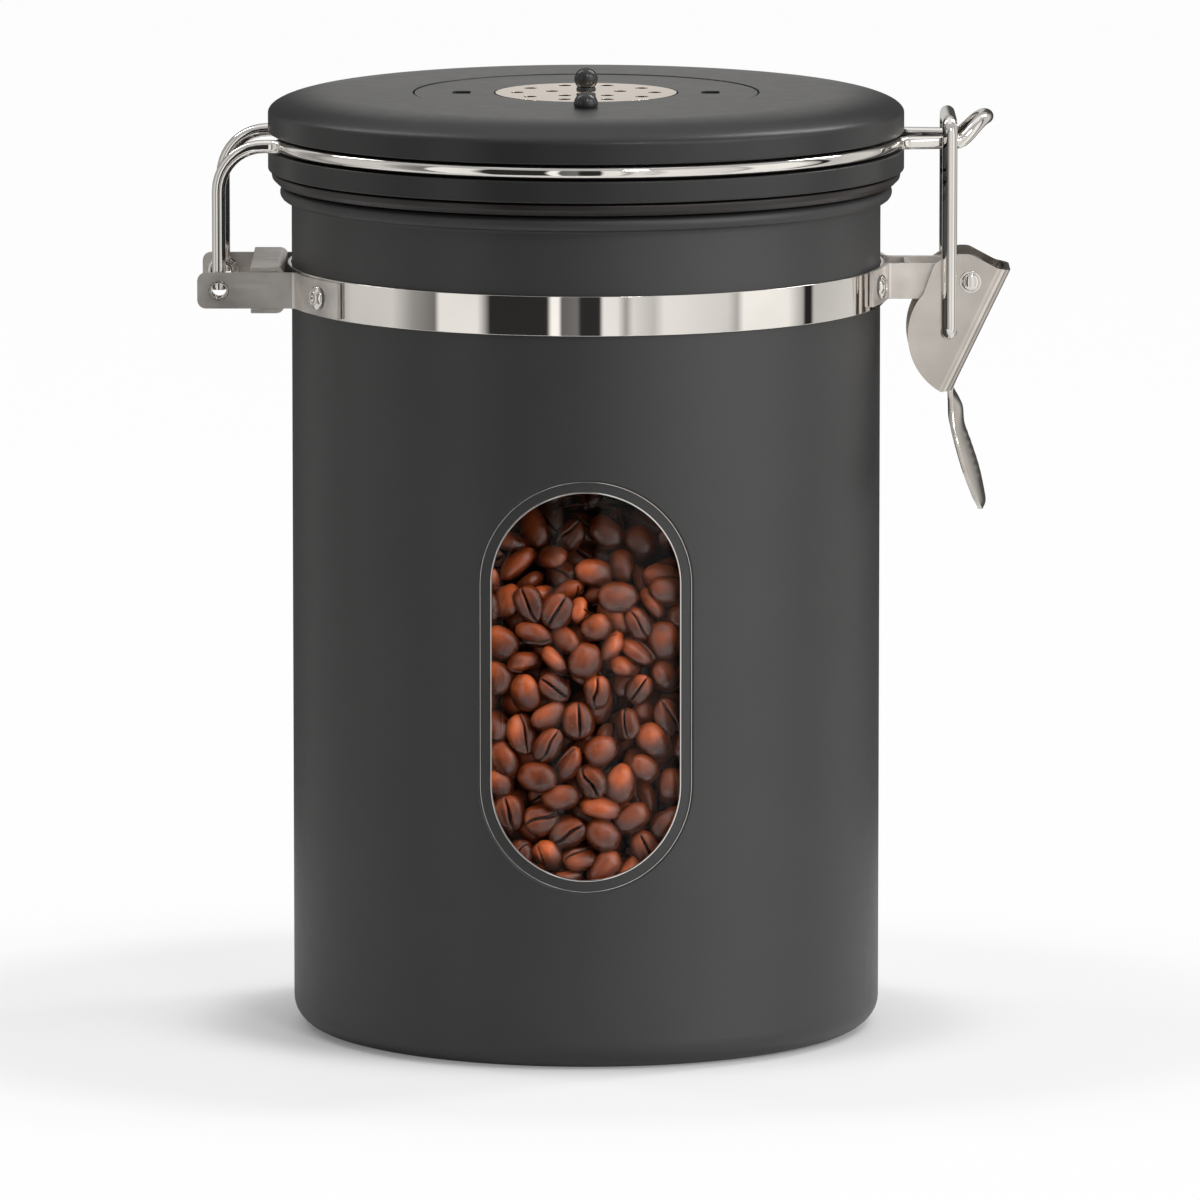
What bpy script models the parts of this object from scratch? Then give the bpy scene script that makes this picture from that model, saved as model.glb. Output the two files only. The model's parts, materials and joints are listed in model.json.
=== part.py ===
"""Coffee canister: a steel can with a clear window, and a lid held by a bail wire and an
over-centre latch. The lid carries a date dial and a perforated vent disc.

Metres, +Z up. The origin is the centre of the base. The window faces -Y, the hinge is at -X
and the latch at +X.
"""
import math

import bmesh
import bpy
from mathutils import Matrix, Vector

# Fits
gap = 0.0003                      # between two pieces that touch
fine_gap = 0.00015                # between two small pieces that touch
overrun = 0.004                   # how far a cutter runs past what it cuts

# Can
body_radius = 0.0592
body_height = 0.1706
wall = 0.0008
base_corner_radius = 0.0055
rim_bead_radius = 0.00155
rim_bead_reach = 0.0023           # from the wall to the bead's outermost line

# Window in the can's front
window_width = 0.0373
window_height = 0.0774
window_level = 0.0770             # height of its middle
window_land = 0.00255             # width of the pressed border round the hole
window_land_depth = 0.00035
window_gasket_room = 0.0008       # between the shell and the pane's flange
pane_step = 0.0022                # width of the low border round the pane's raised face
pane_step_depth = 0.0006
pane_flange = 0.0043              # how far the flange reaches past the hole
pane_flange_thickness = 0.0012
retainer_wall = 0.0011

# Clamp band and its strip-metal ears
band_drop = 0.0197                # from the can's rim down to the band's middle
band_height = 0.0079
band_thickness = 0.0007
ear_height = 0.0072
ear_thickness = 0.0008
ear_bend_radius = 0.0012
rivet_head_radius = 0.0024
rivet_head_height = 0.0011
rivet_shank_radius = 0.0011

# Hinge
hinge_standoff = 0.01335          # from the band to the hinge axis
hinge_half_width = 0.0155         # from the middle to one leg of the lid wire
hinge_ear_end = 0.0043            # from the axis to the ear's end
hinge_ear_corner = 0.0017
hinge_wrap_angle = math.radians(36)
hinge_rivet_angle = math.radians(29)
bush_bore = 0.0015
bush_radius = 0.0019
bush_flange = 0.0008
eye_radius = 0.0032
eye_thickness = 0.0020
channel_depth = 0.0067
channel_height = 0.0094
channel_thickness = 0.0009
channel_bend_radius = 0.0015

# Latch: ears, lever and pull wire
lever_standoff = 0.01705          # from the band to the lever's pivot
lever_rise = 0.0006               # from the band's middle up to the pivot
latch_ear_offset = 0.0063         # from the middle to one ear
latch_wrap_angle = math.radians(20)
latch_rivet_angle = math.radians(15)
bridge_standoff = 0.0044
bridge_thickness = 0.0010
pin_radius = 0.0014
pin_head_radius = 0.0022
pin_dome_radius = 0.0018
pin_flange = 0.0003
pin_dome_height = 0.0007
lever_half_width = 0.0082
lever_thickness = 0.0009
lever_fold_radius = 0.0026
lever_heel = Vector((0.0081, 0.0022))        # from the pivot to the web's top
lever_toe = Vector((-0.0036, -0.0221))       # from the pivot to the web's foot
lever_top = 0.0056
lever_top_run = 0.0020
lever_shoulder = Vector((-0.0073, 0.0034))
lever_belly_radius = 0.0131
lever_belly_centre = Vector((0.0006, -0.0109))
lever_belly_end = math.radians(-220)
tab_length = 0.0248
tab_half_width = 0.0092
tab_crown = 0.0027
tab_lean = 0.00665                # how far the tab's crest leans out on its way down
# Down the tab: shares of its length, its lean, its half width and its crown
tab_shares = [(-0.12, 0.14, 0.62, 0.00), (0.00, 0.02, 0.56, 0.10), (0.08, 0.165, 0.50, 0.45),
              (0.157, 0.293, 0.50, 0.74), (0.298, 0.353, 0.68, 0.81), (0.46, 0.564, 0.90, 0.96),
              (0.66, 0.805, 1.00, 1.00), (0.863, 0.97, 0.80, 0.70), (0.944, 1.00, 0.55, 0.44),
              (1.00, 0.917, 0.18, 0.05)]
foot_offset = Vector((-0.0043, -0.0101))     # from the lever's pivot to the pull wire's foot
pull_wire_radius = 0.0015
pull_wire_bend_radius = 0.0030
pull_wire_foot_bend = 0.0017
latch_slack = 0.0014              # between the pull wire and the nose, needed past dead centre

# Lid
lid_overhang = 0.0047             # from the can's wall to the lid's wall
gasket_thickness = 0.0024
gasket_inset = 0.0006             # from the lid's wall to the gasket's edge
lid_flange_height = 0.00435
lid_side_height = 0.00375
lid_shoulder_height = 0.0040
lid_shoulder_width = 0.0139
lid_wall = 0.0012
lid_foot_chamfer = 0.0004
lid_flange_width = 0.0037
lid_wire_radius = 0.00135
lid_wire_proud = 0.0002           # how far the wire stands out of its groove
lid_leg_bend_radius = 0.0090
lid_ring_bend_radius = 0.0040
nose_root_half_width = 0.0090
nose_half_width = 0.0075
nose_reach = 0.0077               # from the pull wire to the nose's tip
nose_rise = 0.0045
liner_thickness = 0.0012
liner_plug_depth = 0.0030
liner_plug_inset = 0.0057         # from the can's wall, so that the plug swings clear of the rim
liner_flange_width = 0.0028

# Dial, vent disc and valve
dial_radius = 0.0345
dial_thickness = 0.0016
dial_window_length = 0.0036
dial_window_width = 0.0050
dial_window_radius = 0.0250
dial_well_depth = 0.0032
number_ring_thickness = 0.0009
number_ring_width = 0.0140
day_knob_radius = 0.0024
day_knob_height = 0.0029
day_knob_place = 0.0282           # from the lid's axis
knob_stem_radius = 0.0010
vent_radius = 0.0182
vent_thickness = 0.0008
vent_outer_ring = 0.0138
vent_inner_ring = 0.0072
vent_hole_radius = 0.0013
vent_knob_radius = 0.00235
vent_knob_height = 0.0049
vent_collar_radius = 0.00195
vent_collar_height = 0.0009
valve_seat_radius = 0.0157
valve_seat_thickness = 0.0017
valve_rim_width = 0.0012
valve_hole_ring = 0.0052
valve_hole_radius = 0.0011
flap_radius = 0.0085
flap_thickness = 0.0005
flap_stem_radius = 0.0010
flap_bulb_radius = 0.0016
flap_lift = 0.0006                # how far the flap may rise off its seat
grille_hole_radius = 0.0014
grille_ring = 0.0055

# Counts
round_steps = 48
dial_steps = 32
small_steps = 12
hole_steps = 7                    # round the small vent holes
window_steps = 12                 # in each round end
corner_steps = 3
wire_bend_steps = 5
wire_bevel_steps = 2
ring_steps = 40
nose_steps = 8                    # in each quarter of the nose's bend
belly_steps = 9
vent_outer_holes = 10
vent_inner_holes = 5
valve_holes = 6
grille_holes = 6
tab_rows = 12
tab_columns = 8
sharp_angle = math.radians(32)

# Heights and radii that follow
band_level = body_height - band_drop
band_inner = body_radius + fine_gap
band_outer = band_inner + band_thickness
wrap_radius = band_outer + fine_gap + ear_thickness / 2
hinge_x = -(band_outer + hinge_standoff)
ear_inner = hinge_half_width + lid_wire_radius + gap
ear_middle = ear_inner + ear_thickness / 2
gasket_low = body_height + gap
gasket_top = gasket_low + gasket_thickness
lid_low = gasket_top + gap
lid_radius = body_radius + lid_overhang
groove_low = lid_low + lid_flange_height
groove_top = groove_low + 2 * (lid_wire_radius + gap)
wire_level = (groove_low + groove_top) / 2
ring_radius = lid_radius + lid_wire_proud - lid_wire_radius
groove_radius = ring_radius - lid_wire_radius - gap
shoulder_low = groove_top + lid_side_height
lid_top = shoulder_low + lid_shoulder_height
lid_inner = lid_radius - lid_flange_width
well_floor = lid_top - dial_well_depth
lever_x = band_outer + lever_standoff
lever_z = band_level + lever_rise
foot_x = lever_x + foot_offset.x
foot_z = lever_z + foot_offset.y
bar_z = wire_level + lid_wire_radius + latch_slack + pull_wire_radius
pin_head_top = lever_half_width + fine_gap + pin_flange + pin_dome_height
leg_offset = pin_head_top + gap + pull_wire_radius
dial_top = lid_top - fine_gap
dial_low = dial_top - dial_thickness
vent_low = dial_top - vent_thickness
number_low = well_floor + fine_gap
number_top = number_low + number_ring_thickness
valve_top = well_floor + gap
valve_low = valve_top - valve_seat_thickness
flap_low = valve_top + fine_gap

# The four rivets through the band: name, angle in plan, height
rivet_places = [("hinge_front", math.pi + hinge_rivet_angle, band_level),
                ("hinge_back", math.pi - hinge_rivet_angle, band_level),
                ("latch_front", -latch_rivet_angle, lever_z),
                ("latch_back", latch_rivet_angle, lever_z)]


def clear_scene():
    for old in list(bpy.data.objects):
        bpy.data.objects.remove(old, do_unlink=True)


def new_collection(name):
    collection = bpy.data.collections.new(name)
    bpy.context.scene.collection.children.link(collection)
    return collection


def finish(name, colour, roughness, metallic, transmission=0.0):
    """A Principled material."""
    material = bpy.data.materials.new(name)
    material.use_nodes = True
    shader = material.node_tree.nodes["Principled BSDF"]
    shader.inputs["Base Color"].default_value = (*colour, 1.0)
    shader.inputs["Roughness"].default_value = roughness
    shader.inputs["Metallic"].default_value = metallic
    shader.inputs["Transmission Weight"].default_value = transmission
    material.diffuse_color = (*colour, 1.0)
    return material


clear_scene()
parts = new_collection("coffee_canister")
guides = new_collection("canister_cutters")

powder_coat = finish("powder_coat", (0.045, 0.045, 0.046), 0.55, 0.0)
bright_steel = finish("bright_steel", (0.74, 0.72, 0.69), 0.14, 1.0)
black_silicone = finish("black_silicone", (0.012, 0.012, 0.012), 0.22, 0.0)
white_silicone = finish("white_silicone", (0.62, 0.62, 0.60), 0.45, 0.0)
champagne_metal = finish("champagne_metal", (0.72, 0.56, 0.42), 0.25, 1.0)
dark_plastic = finish("dark_plastic", (0.040, 0.040, 0.042), 0.40, 0.0)
pale_plastic = finish("pale_plastic", (0.55, 0.55, 0.53), 0.45, 0.0)
clear_plastic = finish("clear_plastic", (0.90, 0.92, 0.92), 0.04, 0.0, 1.0)


def pivot(name, location, parent=None):
    """An empty on a joint's axis. Pieces hang from it."""
    empty = bpy.data.objects.new(name, None)
    empty.empty_display_size = ear_height
    parts.objects.link(empty)
    empty.location = location
    if parent is not None:
        empty.parent = parent
        empty.location = Vector(location) - Vector(parent["place"])
    empty["place"] = tuple(location)
    return empty


def attach(piece, empty):
    """Hangs a piece from a pivot without moving it."""
    piece.parent = empty
    piece.matrix_parent_inverse = Matrix.Translation(empty["place"]).inverted()


def add_object(name, data, material, collection=None):
    piece = bpy.data.objects.new(name, data)
    if material is not None:
        data.materials.append(material)
    (collection or parts).objects.link(piece)
    return piece


def turned(name, profile, steps, material, closed=True, collection=None):
    """A turned piece. The profile is (radius, height) pairs, with its outer side from top to
    bottom; an open profile starts and ends on the axis."""
    mesh = bpy.data.meshes.new(name)
    edges = [(i, i + 1) for i in range(len(profile) - 1)]
    if closed:
        edges.append((len(profile) - 1, 0))
    mesh.from_pydata([(radius, 0, height) for radius, height in profile], edges, [])
    piece = add_object(name, mesh, material, collection)
    screw = piece.modifiers.new("turn", "SCREW")
    screw.axis = "Z"
    screw.steps = steps
    screw.render_steps = steps
    screw.use_merge_vertices = True
    screw.merge_threshold = fine_gap / 10
    screw.use_smooth_shade = True
    return piece


def filleted(points, radii, steps, closed=False):
    """A path's points with each corner turned into an arc of its radius."""
    points = [Vector(point).to_3d() for point in points]
    result = []
    for i, corner in enumerate(points):
        radius = radii[i]
        if radius == 0 or (not closed and i in (0, len(points) - 1)):
            result.append(corner)
            continue
        before = (points[i - 1] - corner).normalized()
        after = (points[(i + 1) % len(points)] - corner).normalized()
        turn = math.pi - before.angle(after)
        reach = radius * math.tan(turn / 2)
        centre = corner + (before + after).normalized() * (radius / math.cos(turn / 2))
        first = corner + before * reach - centre
        last = corner + after * reach - centre
        axis = first.cross(last).normalized()
        for step in range(steps + 1):
            result.append(centre + Matrix.Rotation(turn * step / steps, 3, axis) @ first)
    return result


def arc(centre, radius, start, end, steps):
    """Points on an arc, as (x, y) pairs."""
    angles = [start + (end - start) * step / steps for step in range(steps + 1)]
    return [(centre[0] + radius * math.cos(a), centre[1] + radius * math.sin(a)) for a in angles]


def stadium(width, height, steps):
    """The outline of a slot with round ends, taller than it is wide."""
    radius = width / 2
    rise = height / 2 - radius
    return (arc((0, rise), radius, 0, math.pi, steps)
            + arc((0, -rise), radius, math.pi, 2 * math.pi, steps))


def weld(mesh):
    """Joins a curve's loose caps to its sides."""
    work = bmesh.new()
    work.from_mesh(mesh)
    bmesh.ops.remove_doubles(work, verts=work.verts, dist=fine_gap / 10)
    bmesh.ops.recalc_face_normals(work, faces=work.faces)
    work.to_mesh(mesh)
    work.free()


def to_mesh(curve_object, name, material, collection=None, sealed=True):
    """Replaces a curve object by a mesh object of the same shape."""
    evaluated = curve_object.evaluated_get(bpy.context.evaluated_depsgraph_get())
    mesh = bpy.data.meshes.new_from_object(evaluated)
    if sealed:
        weld(mesh)
    mesh.materials.clear()
    matrix = curve_object.matrix_world.copy()
    bpy.data.objects.remove(curve_object, do_unlink=True)
    piece = add_object(name, mesh, material, collection)
    piece.matrix_world = matrix
    return piece


def plate(name, outline, thickness, material, matrix=None, collection=None):
    """A flat outline of even thickness, centred on its own XY plane, then placed."""
    curve = bpy.data.curves.new(name, "CURVE")
    curve.dimensions = "2D"
    curve.fill_mode = "BOTH"
    curve.extrude = thickness / 2
    spline = curve.splines.new("POLY")
    spline.points.add(len(outline) - 1)
    for point, place in zip(spline.points, outline):
        point.co = (place[0], place[1], 0, 1)
    spline.use_cyclic_u = True
    piece = add_object(name + "_outline", curve, None, collection)
    if matrix is not None:
        piece.matrix_world = matrix
    bpy.context.view_layer.update()
    return to_mesh(piece, name, material, collection)


def strip(name, path, middle, height, thickness, material):
    """A strip of sheet stood on edge along a path in plan."""
    curve = bpy.data.curves.new(name, "CURVE")
    curve.dimensions = "2D"
    curve.fill_mode = "NONE"
    curve.extrude = height / 2
    spline = curve.splines.new("POLY")
    spline.points.add(len(path) - 1)
    for point, place in zip(spline.points, path):
        point.co = (place[0], place[1], 0, 1)
    ribbon = add_object(name + "_path", curve, None)
    ribbon.location = (0, 0, middle)
    bpy.context.view_layer.update()
    piece = to_mesh(ribbon, name, material, sealed=False)
    sheet = piece.modifiers.new("sheet", "SOLIDIFY")
    sheet.thickness = thickness
    sheet.offset = 0
    sheet.use_even_offset = True
    return piece


def wire(name, points, radius, material):
    """A round wire along a path."""
    curve = bpy.data.curves.new(name, "CURVE")
    curve.dimensions = "3D"
    curve.bevel_depth = radius
    curve.bevel_resolution = wire_bevel_steps
    curve.use_fill_caps = True
    spline = curve.splines.new("POLY")
    spline.points.add(len(points) - 1)
    for point, place in zip(spline.points, points):
        point.co = (*place, 1)
    path = add_object(name + "_path", curve, None)
    bpy.context.view_layer.update()
    return to_mesh(path, name, material)


def rods(name, places, radius, length, steps, axis="Z"):
    """A cutter of parallel round rods centred on the given places."""
    turn = {"Z": Matrix.Identity(4), "Y": Matrix.Rotation(math.pi / 2, 4, "X")}[axis]
    work = bmesh.new()
    for place in places:
        bmesh.ops.create_cone(work, cap_ends=True, segments=steps, radius1=radius,
                              radius2=radius, depth=length,
                              matrix=Matrix.Translation(place) @ turn)
    mesh = bpy.data.meshes.new(name)
    work.to_mesh(mesh)
    work.free()
    return add_object(name, mesh, None, guides)


def combine(piece, tool, operation):
    """A Boolean of two closed meshes. The tool becomes a hidden guide."""
    change = piece.modifiers.new(operation.lower(), "BOOLEAN")
    change.operation = operation
    change.solver = "EXACT"
    change.object = tool
    tool.hide_render = True
    tool.display_type = "WIRE"
    for collection in list(tool.users_collection):
        collection.objects.unlink(tool)
    guides.objects.link(tool)


def circle_places(count, radius, height, first=0.0):
    return [Vector((radius * math.cos(first + 2 * math.pi * i / count),
                    radius * math.sin(first + 2 * math.pi * i / count), height))
            for i in range(count)]


def turn_to_y(piece, location, facing=1):
    """Lays a piece turned about Z along Y at a place."""
    piece.rotation_euler = (-facing * math.pi / 2, 0, 0)
    piece.location = location


# Pivots of the moving pieces
lid_pivot = pivot("lid_pivot", (hinge_x, 0, band_level))
dial_pivot = pivot("dial_pivot", (0, 0, dial_low), lid_pivot)
vent_pivot = pivot("vent_pivot", (0, 0, vent_low), lid_pivot)
flap_pivot = pivot("flap_pivot", (0, 0, flap_low), lid_pivot)
lever_pivot = pivot("lever_pivot", (lever_x, 0, lever_z))
wire_pivot = pivot("wire_pivot", (foot_x, 0, foot_z), lever_pivot)


# Can


def window_prism(name, width, height):
    """A round-ended cutter through the front wall at the window's height."""
    front = Matrix.Translation((0, -body_radius, window_level))
    upright = Matrix.Rotation(math.pi / 2, 4, "X")
    return plate(name, stadium(width, height, window_steps), body_radius, None,
                 front @ upright, guides)


def tube(name, inner, outer, low, high, material, collection=None):
    profile = [(inner, high), (outer, high), (outer, low), (inner, low)]
    return turned(name, profile, round_steps, material, collection=collection)


def make_body():
    bead_x = body_radius + rim_bead_reach - rim_bead_radius
    bead_z = body_height - rim_bead_radius
    corner = (body_radius - base_corner_radius, base_corner_radius)
    inner = arc(corner, base_corner_radius - wall, -math.pi / 2, 0, corner_steps)
    bead = arc((bead_x, bead_z), rim_bead_radius, math.pi / 2, -math.pi / 2, 2 * corner_steps)
    outer = arc(corner, base_corner_radius, 0, -math.pi / 2, corner_steps)
    profile = [(0, wall), *inner, (body_radius - wall, body_height), *bead,
               (body_radius, body_height - 2 * rim_bead_radius), *outer, (0, 0)]
    body = turned("body_shell", profile, round_steps, powder_coat, closed=False)
    hole = window_prism("window_hole", window_width + 2 * gap, window_height + 2 * gap)
    combine(body, hole, "DIFFERENCE")
    land = tube("window_land", body_radius - window_land_depth, body_radius + overrun,
                window_level - window_height, window_level + window_height, None, guides)
    border = 2 * window_land
    combine(land, window_prism("land_outline", window_width + border, window_height + border),
            "INTERSECT")
    combine(body, land, "DIFFERENCE")


def make_window():
    low = window_level - window_height
    high = window_level + window_height
    flange_outer = body_radius - wall - gap - window_gasket_room
    face_outer = body_radius - window_land_depth
    flange_inner = flange_outer - pane_flange_thickness
    reach = 2 * pane_flange

    pane = tube("window_pane", flange_inner, flange_outer, low, high, clear_plastic)
    combine(pane, window_prism("pane_flange_outline", window_width + reach,
                               window_height + reach), "INTERSECT")
    boss = tube("pane_boss", flange_outer - fine_gap, face_outer - pane_step_depth, low, high,
                None, guides)
    combine(boss, window_prism("pane_boss_outline", window_width, window_height), "INTERSECT")
    combine(pane, boss, "UNION")
    face = tube("pane_face", flange_outer - 2 * fine_gap, face_outer, low, high, None, guides)
    combine(face, window_prism("pane_face_outline", window_width - 2 * pane_step,
                               window_height - 2 * pane_step), "INTERSECT")
    combine(pane, face, "UNION")

    gasket = tube("window_gasket", flange_outer + fine_gap, body_radius - wall - fine_gap,
                  low, high, black_silicone)
    combine(gasket, window_prism("gasket_outline", window_width + reach, window_height + reach),
            "INTERSECT")
    combine(gasket, window_prism("gasket_hole", window_width + 4 * gap, window_height + 4 * gap),
            "DIFFERENCE")

    room = reach + 2 * gap
    tray_inner = flange_inner - fine_gap - retainer_wall
    retainer = tube("window_retainer", tray_inner, body_radius - wall - gap, low, high,
                    bright_steel)
    combine(retainer, window_prism("retainer_outline", window_width + room + 2 * retainer_wall,
                                   window_height + room + 2 * retainer_wall), "INTERSECT")
    pocket = tube("retainer_pocket", flange_inner - fine_gap, body_radius + overrun, low, high,
                  None, guides)
    combine(pocket, window_prism("retainer_pocket_outline", window_width + room,
                                 window_height + room), "INTERSECT")
    combine(retainer, pocket, "DIFFERENCE")
    combine(retainer, window_prism("retainer_hole", window_width + 4 * gap,
                                   window_height + 4 * gap), "DIFFERENCE")


def rivet(name, angle, level):
    """A domed rivet through an ear's wrap and the band, along the can's radius."""
    head = wrap_radius + ear_thickness / 2 + fine_gap
    foot = band_inner
    dome = arc((0, head), rivet_head_radius, math.pi / 2, 0, corner_steps)
    ratio = rivet_head_height / rivet_head_radius
    dome = [(x, head + (z - head) * ratio) for x, z in dome]
    dome[0] = (0, dome[0][1])
    profile = [*dome, (rivet_shank_radius, head), (rivet_shank_radius, foot), (0, foot)]
    piece = turned(name, profile, small_steps, bright_steel, closed=False)
    direction = Vector((math.cos(angle), math.sin(angle), 0))
    piece.rotation_euler = direction.to_track_quat("Z", "Y").to_euler()
    piece.location = (0, 0, level)
    return piece


def rivet_hole(name, angle, level):
    """The round cutter that makes room for a rivet's shank."""
    cutter = rods(name, [Vector((0, 0, 0))], rivet_shank_radius + fine_gap, 2 * overrun,
                  small_steps)
    direction = Vector((math.cos(angle), math.sin(angle), 0))
    cutter.rotation_euler = direction.to_track_quat("Z", "Y").to_euler()
    cutter.location = direction * wrap_radius + Vector((0, 0, level))
    return cutter


def make_band():
    low = band_level - band_height / 2
    high = band_level + band_height / 2
    band = tube("clamp_band", band_inner, band_outer, low, high, bright_steel)
    for name, angle, level in rivet_places:
        combine(band, rivet_hole(name + "_band_hole", angle, level), "DIFFERENCE")


def wrap_path(offset, wrap_angle, end_x, side):
    """The plan of an ear: round the band, then straight out along X."""
    turn_in = math.asin(offset / wrap_radius)
    angles = [wrap_angle + (turn_in - wrap_angle) * step / corner_steps
              for step in range(corner_steps + 1)]
    direction = 1 if end_x > 0 else -1
    path = [(direction * wrap_radius * math.cos(a), side * wrap_radius * math.sin(a))
            for a in angles]
    path.append((end_x, side * offset))
    radii = [0] * corner_steps + [ear_bend_radius, 0]
    return filleted(path, radii, corner_steps)


def ear(name, offset, wrap_angle, end_x, level, corner, side):
    """One strip-metal ear with its end's corners rounded."""
    piece = strip(name, wrap_path(offset, wrap_angle, end_x, side), level, ear_height + overrun,
                  ear_thickness, bright_steel)
    far = -math.copysign(overrun, end_x)
    half = ear_height / 2
    outline = [(end_x, half), (far, half), (far, -half), (end_x, -half)]
    radii = [corner, 0, 0, corner]
    side_view = Matrix.Translation((0, side * offset, level)) @ Matrix.Rotation(
        math.pi / 2, 4, "X")
    shape = plate(name + "_outline", filleted(outline, radii, 2 * corner_steps, closed=True),
                  2 * body_radius, None, side_view, guides)
    combine(piece, shape, "INTERSECT")
    return piece


def make_hinge():
    end_x = hinge_x - hinge_ear_end
    length = 2 * (ear_middle + overrun)
    for side, place in ((-1, "front"), (1, "back")):
        piece = ear("hinge_ear_" + place, ear_middle, hinge_wrap_angle, end_x, band_level,
                    hinge_ear_corner, side)
        hole = rods("hinge_hole_" + place, [Vector((hinge_x, 0, band_level))],
                    bush_radius + fine_gap, length, small_steps, "Y")
        combine(piece, hole, "DIFFERENCE")
        angle = math.pi - side * hinge_rivet_angle
        combine(piece, rivet_hole("hinge_ear_rivet_hole_" + place, angle, band_level),
                "DIFFERENCE")
        rivet("hinge_rivet_" + place, angle, band_level)
        make_bush(place, side)

    web_x = -(band_outer + gap)
    half = channel_height / 2
    tip_x = web_x - channel_depth
    outline = [(tip_x, half), (web_x, half), (web_x, -half), (tip_x, -half),
               (tip_x, channel_thickness - half), (web_x - channel_thickness,
                                                   channel_thickness - half),
               (web_x - channel_thickness, half - channel_thickness),
               (tip_x, half - channel_thickness)]
    inner_bend = channel_bend_radius - channel_thickness
    radii = [0, channel_bend_radius, channel_bend_radius, 0, 0, inner_bend, inner_bend, 0]
    end_view = Matrix.Translation((0, 0, band_level)) @ Matrix.Rotation(math.pi / 2, 4, "X")
    plate("hinge_channel", filleted(outline, radii, corner_steps, closed=True),
          2 * (ear_inner - gap), bright_steel, end_view)


def make_bush(place, side):
    """The hollow bush that one leg of the lid wire turns on."""
    outer = ear_inner + ear_thickness
    collar = hinge_half_width - eye_thickness / 2 - gap
    low = collar - bush_flange
    profile = [(bush_bore, outer), (bush_radius, outer), (bush_radius, collar),
               (bush_radius + bush_flange, collar), (bush_radius + bush_flange, low),
               (bush_bore, low)]
    bush = turned("hinge_bush_" + place, profile, small_steps, bright_steel)
    turn_to_y(bush, (hinge_x, 0, band_level), side)


def make_latch_ears():
    end_x = lever_x + ear_height / 2
    length = 2 * (latch_ear_offset + overrun)
    for side, place in ((-1, "front"), (1, "back")):
        piece = ear("latch_ear_" + place, latch_ear_offset, latch_wrap_angle, end_x, lever_z,
                    ear_height / 2 - fine_gap, side)
        hole = rods("latch_hole_" + place, [Vector((lever_x, 0, lever_z))],
                    pin_radius + fine_gap, length, small_steps, "Y")
        combine(piece, hole, "DIFFERENCE")
        angle = side * latch_rivet_angle
        combine(piece, rivet_hole("latch_ear_rivet_hole_" + place, angle, lever_z), "DIFFERENCE")
        rivet("latch_rivet_" + place, angle, lever_z)
    bridge_x = band_outer + bridge_standoff
    half = (latch_ear_offset - ear_thickness / 2 - fine_gap)
    outline = [(-bridge_thickness / 2, -half), (bridge_thickness / 2, -half),
               (bridge_thickness / 2, half), (-bridge_thickness / 2, half)]
    plate("latch_bridge", outline, ear_height, bright_steel,
          Matrix.Translation((bridge_x, 0, lever_z)))


def make_lever_pin():
    """A rivet with a domed head on both sides of the lever."""
    seat = lever_half_width + fine_gap
    flange = seat + pin_flange
    dome = [(pin_dome_radius * math.cos(a), flange + pin_dome_height * math.sin(a))
            for a in (math.pi / 2 * step / corner_steps for step in range(corner_steps + 1))]
    dome[-1] = (0, flange + pin_dome_height)
    upper = [*reversed(dome), (pin_head_radius, flange), (pin_head_radius, seat),
             (pin_radius, seat)]
    lower = [(x, -z) for x, z in reversed(upper)]
    pin = turned("lever_pin", upper + lower, small_steps, bright_steel, closed=False)
    turn_to_y(pin, (lever_x, 0, lever_z))


def lever_outline():
    """The lever's side view, from the pivot: top, web, belly and shoulder."""
    start = math.atan2(lever_toe.y - lever_thickness - lever_belly_centre.y,
                       lever_toe.x - lever_fold_radius - lever_belly_centre.x)
    belly = arc(lever_belly_centre, lever_belly_radius, start, lever_belly_end, belly_steps)
    crest = [(lever_shoulder.x + lever_top_run, lever_top - lever_thickness),
             (-lever_top_run, lever_top), (0, lever_top),
             (lever_heel.x - lever_fold_radius, lever_heel.y + lever_thickness / 2)]
    return [lever_heel, lever_toe, *belly, lever_shoulder, *crest]


def make_lever():
    """A channel folded from sheet, cut to the side outline, with a cupped tab."""
    web = lever_toe - lever_heel
    inward = Vector((-web.y, web.x)).normalized() * -1
    depth = lever_half_width * 4
    outer, inner = lever_half_width, lever_half_width - lever_thickness
    outline = [(0, -outer), (0, outer), (depth, outer), (depth, inner),
               (lever_thickness, inner), (lever_thickness, -inner), (depth, -inner),
               (depth, -outer)]
    inner_bend = lever_fold_radius - lever_thickness
    radii = [lever_fold_radius, lever_fold_radius, 0, 0, inner_bend, inner_bend, 0, 0]
    middle = (lever_heel + lever_toe) / 2
    across = Vector((inward.x, 0, inward.y))
    along = Vector((web.x, 0, web.y)).normalized()
    frame = Matrix.Identity(4)
    for row in range(3):
        frame[row][0] = across[row]
        frame[row][1] = across.cross(along)[row] * -1
        frame[row][2] = along[row]
    frame.translation = (lever_x + middle.x, 0, lever_z + middle.y)
    lever = plate("lever", filleted(outline, radii, corner_steps, closed=True),
                  2 * web.length, bright_steel, frame)
    side_view = Matrix.Translation((lever_x, 0, lever_z)) @ Matrix.Rotation(math.pi / 2, 4, "X")
    shape = plate("lever_outline", lever_outline(), 3 * lever_half_width, None, side_view,
                  guides)
    combine(lever, shape, "INTERSECT")
    combine(lever, make_tab(), "UNION")
    length = 3 * lever_half_width
    combine(lever, rods("lever_pin_hole", [Vector((lever_x, 0, lever_z))],
                        pin_radius + fine_gap, length, small_steps, "Y"), "DIFFERENCE")
    combine(lever, rods("lever_foot_hole", [Vector((foot_x, 0, foot_z))],
                        pull_wire_radius + fine_gap, length, small_steps, "Y"), "DIFFERENCE")
    attach(lever, lever_pivot)


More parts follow.
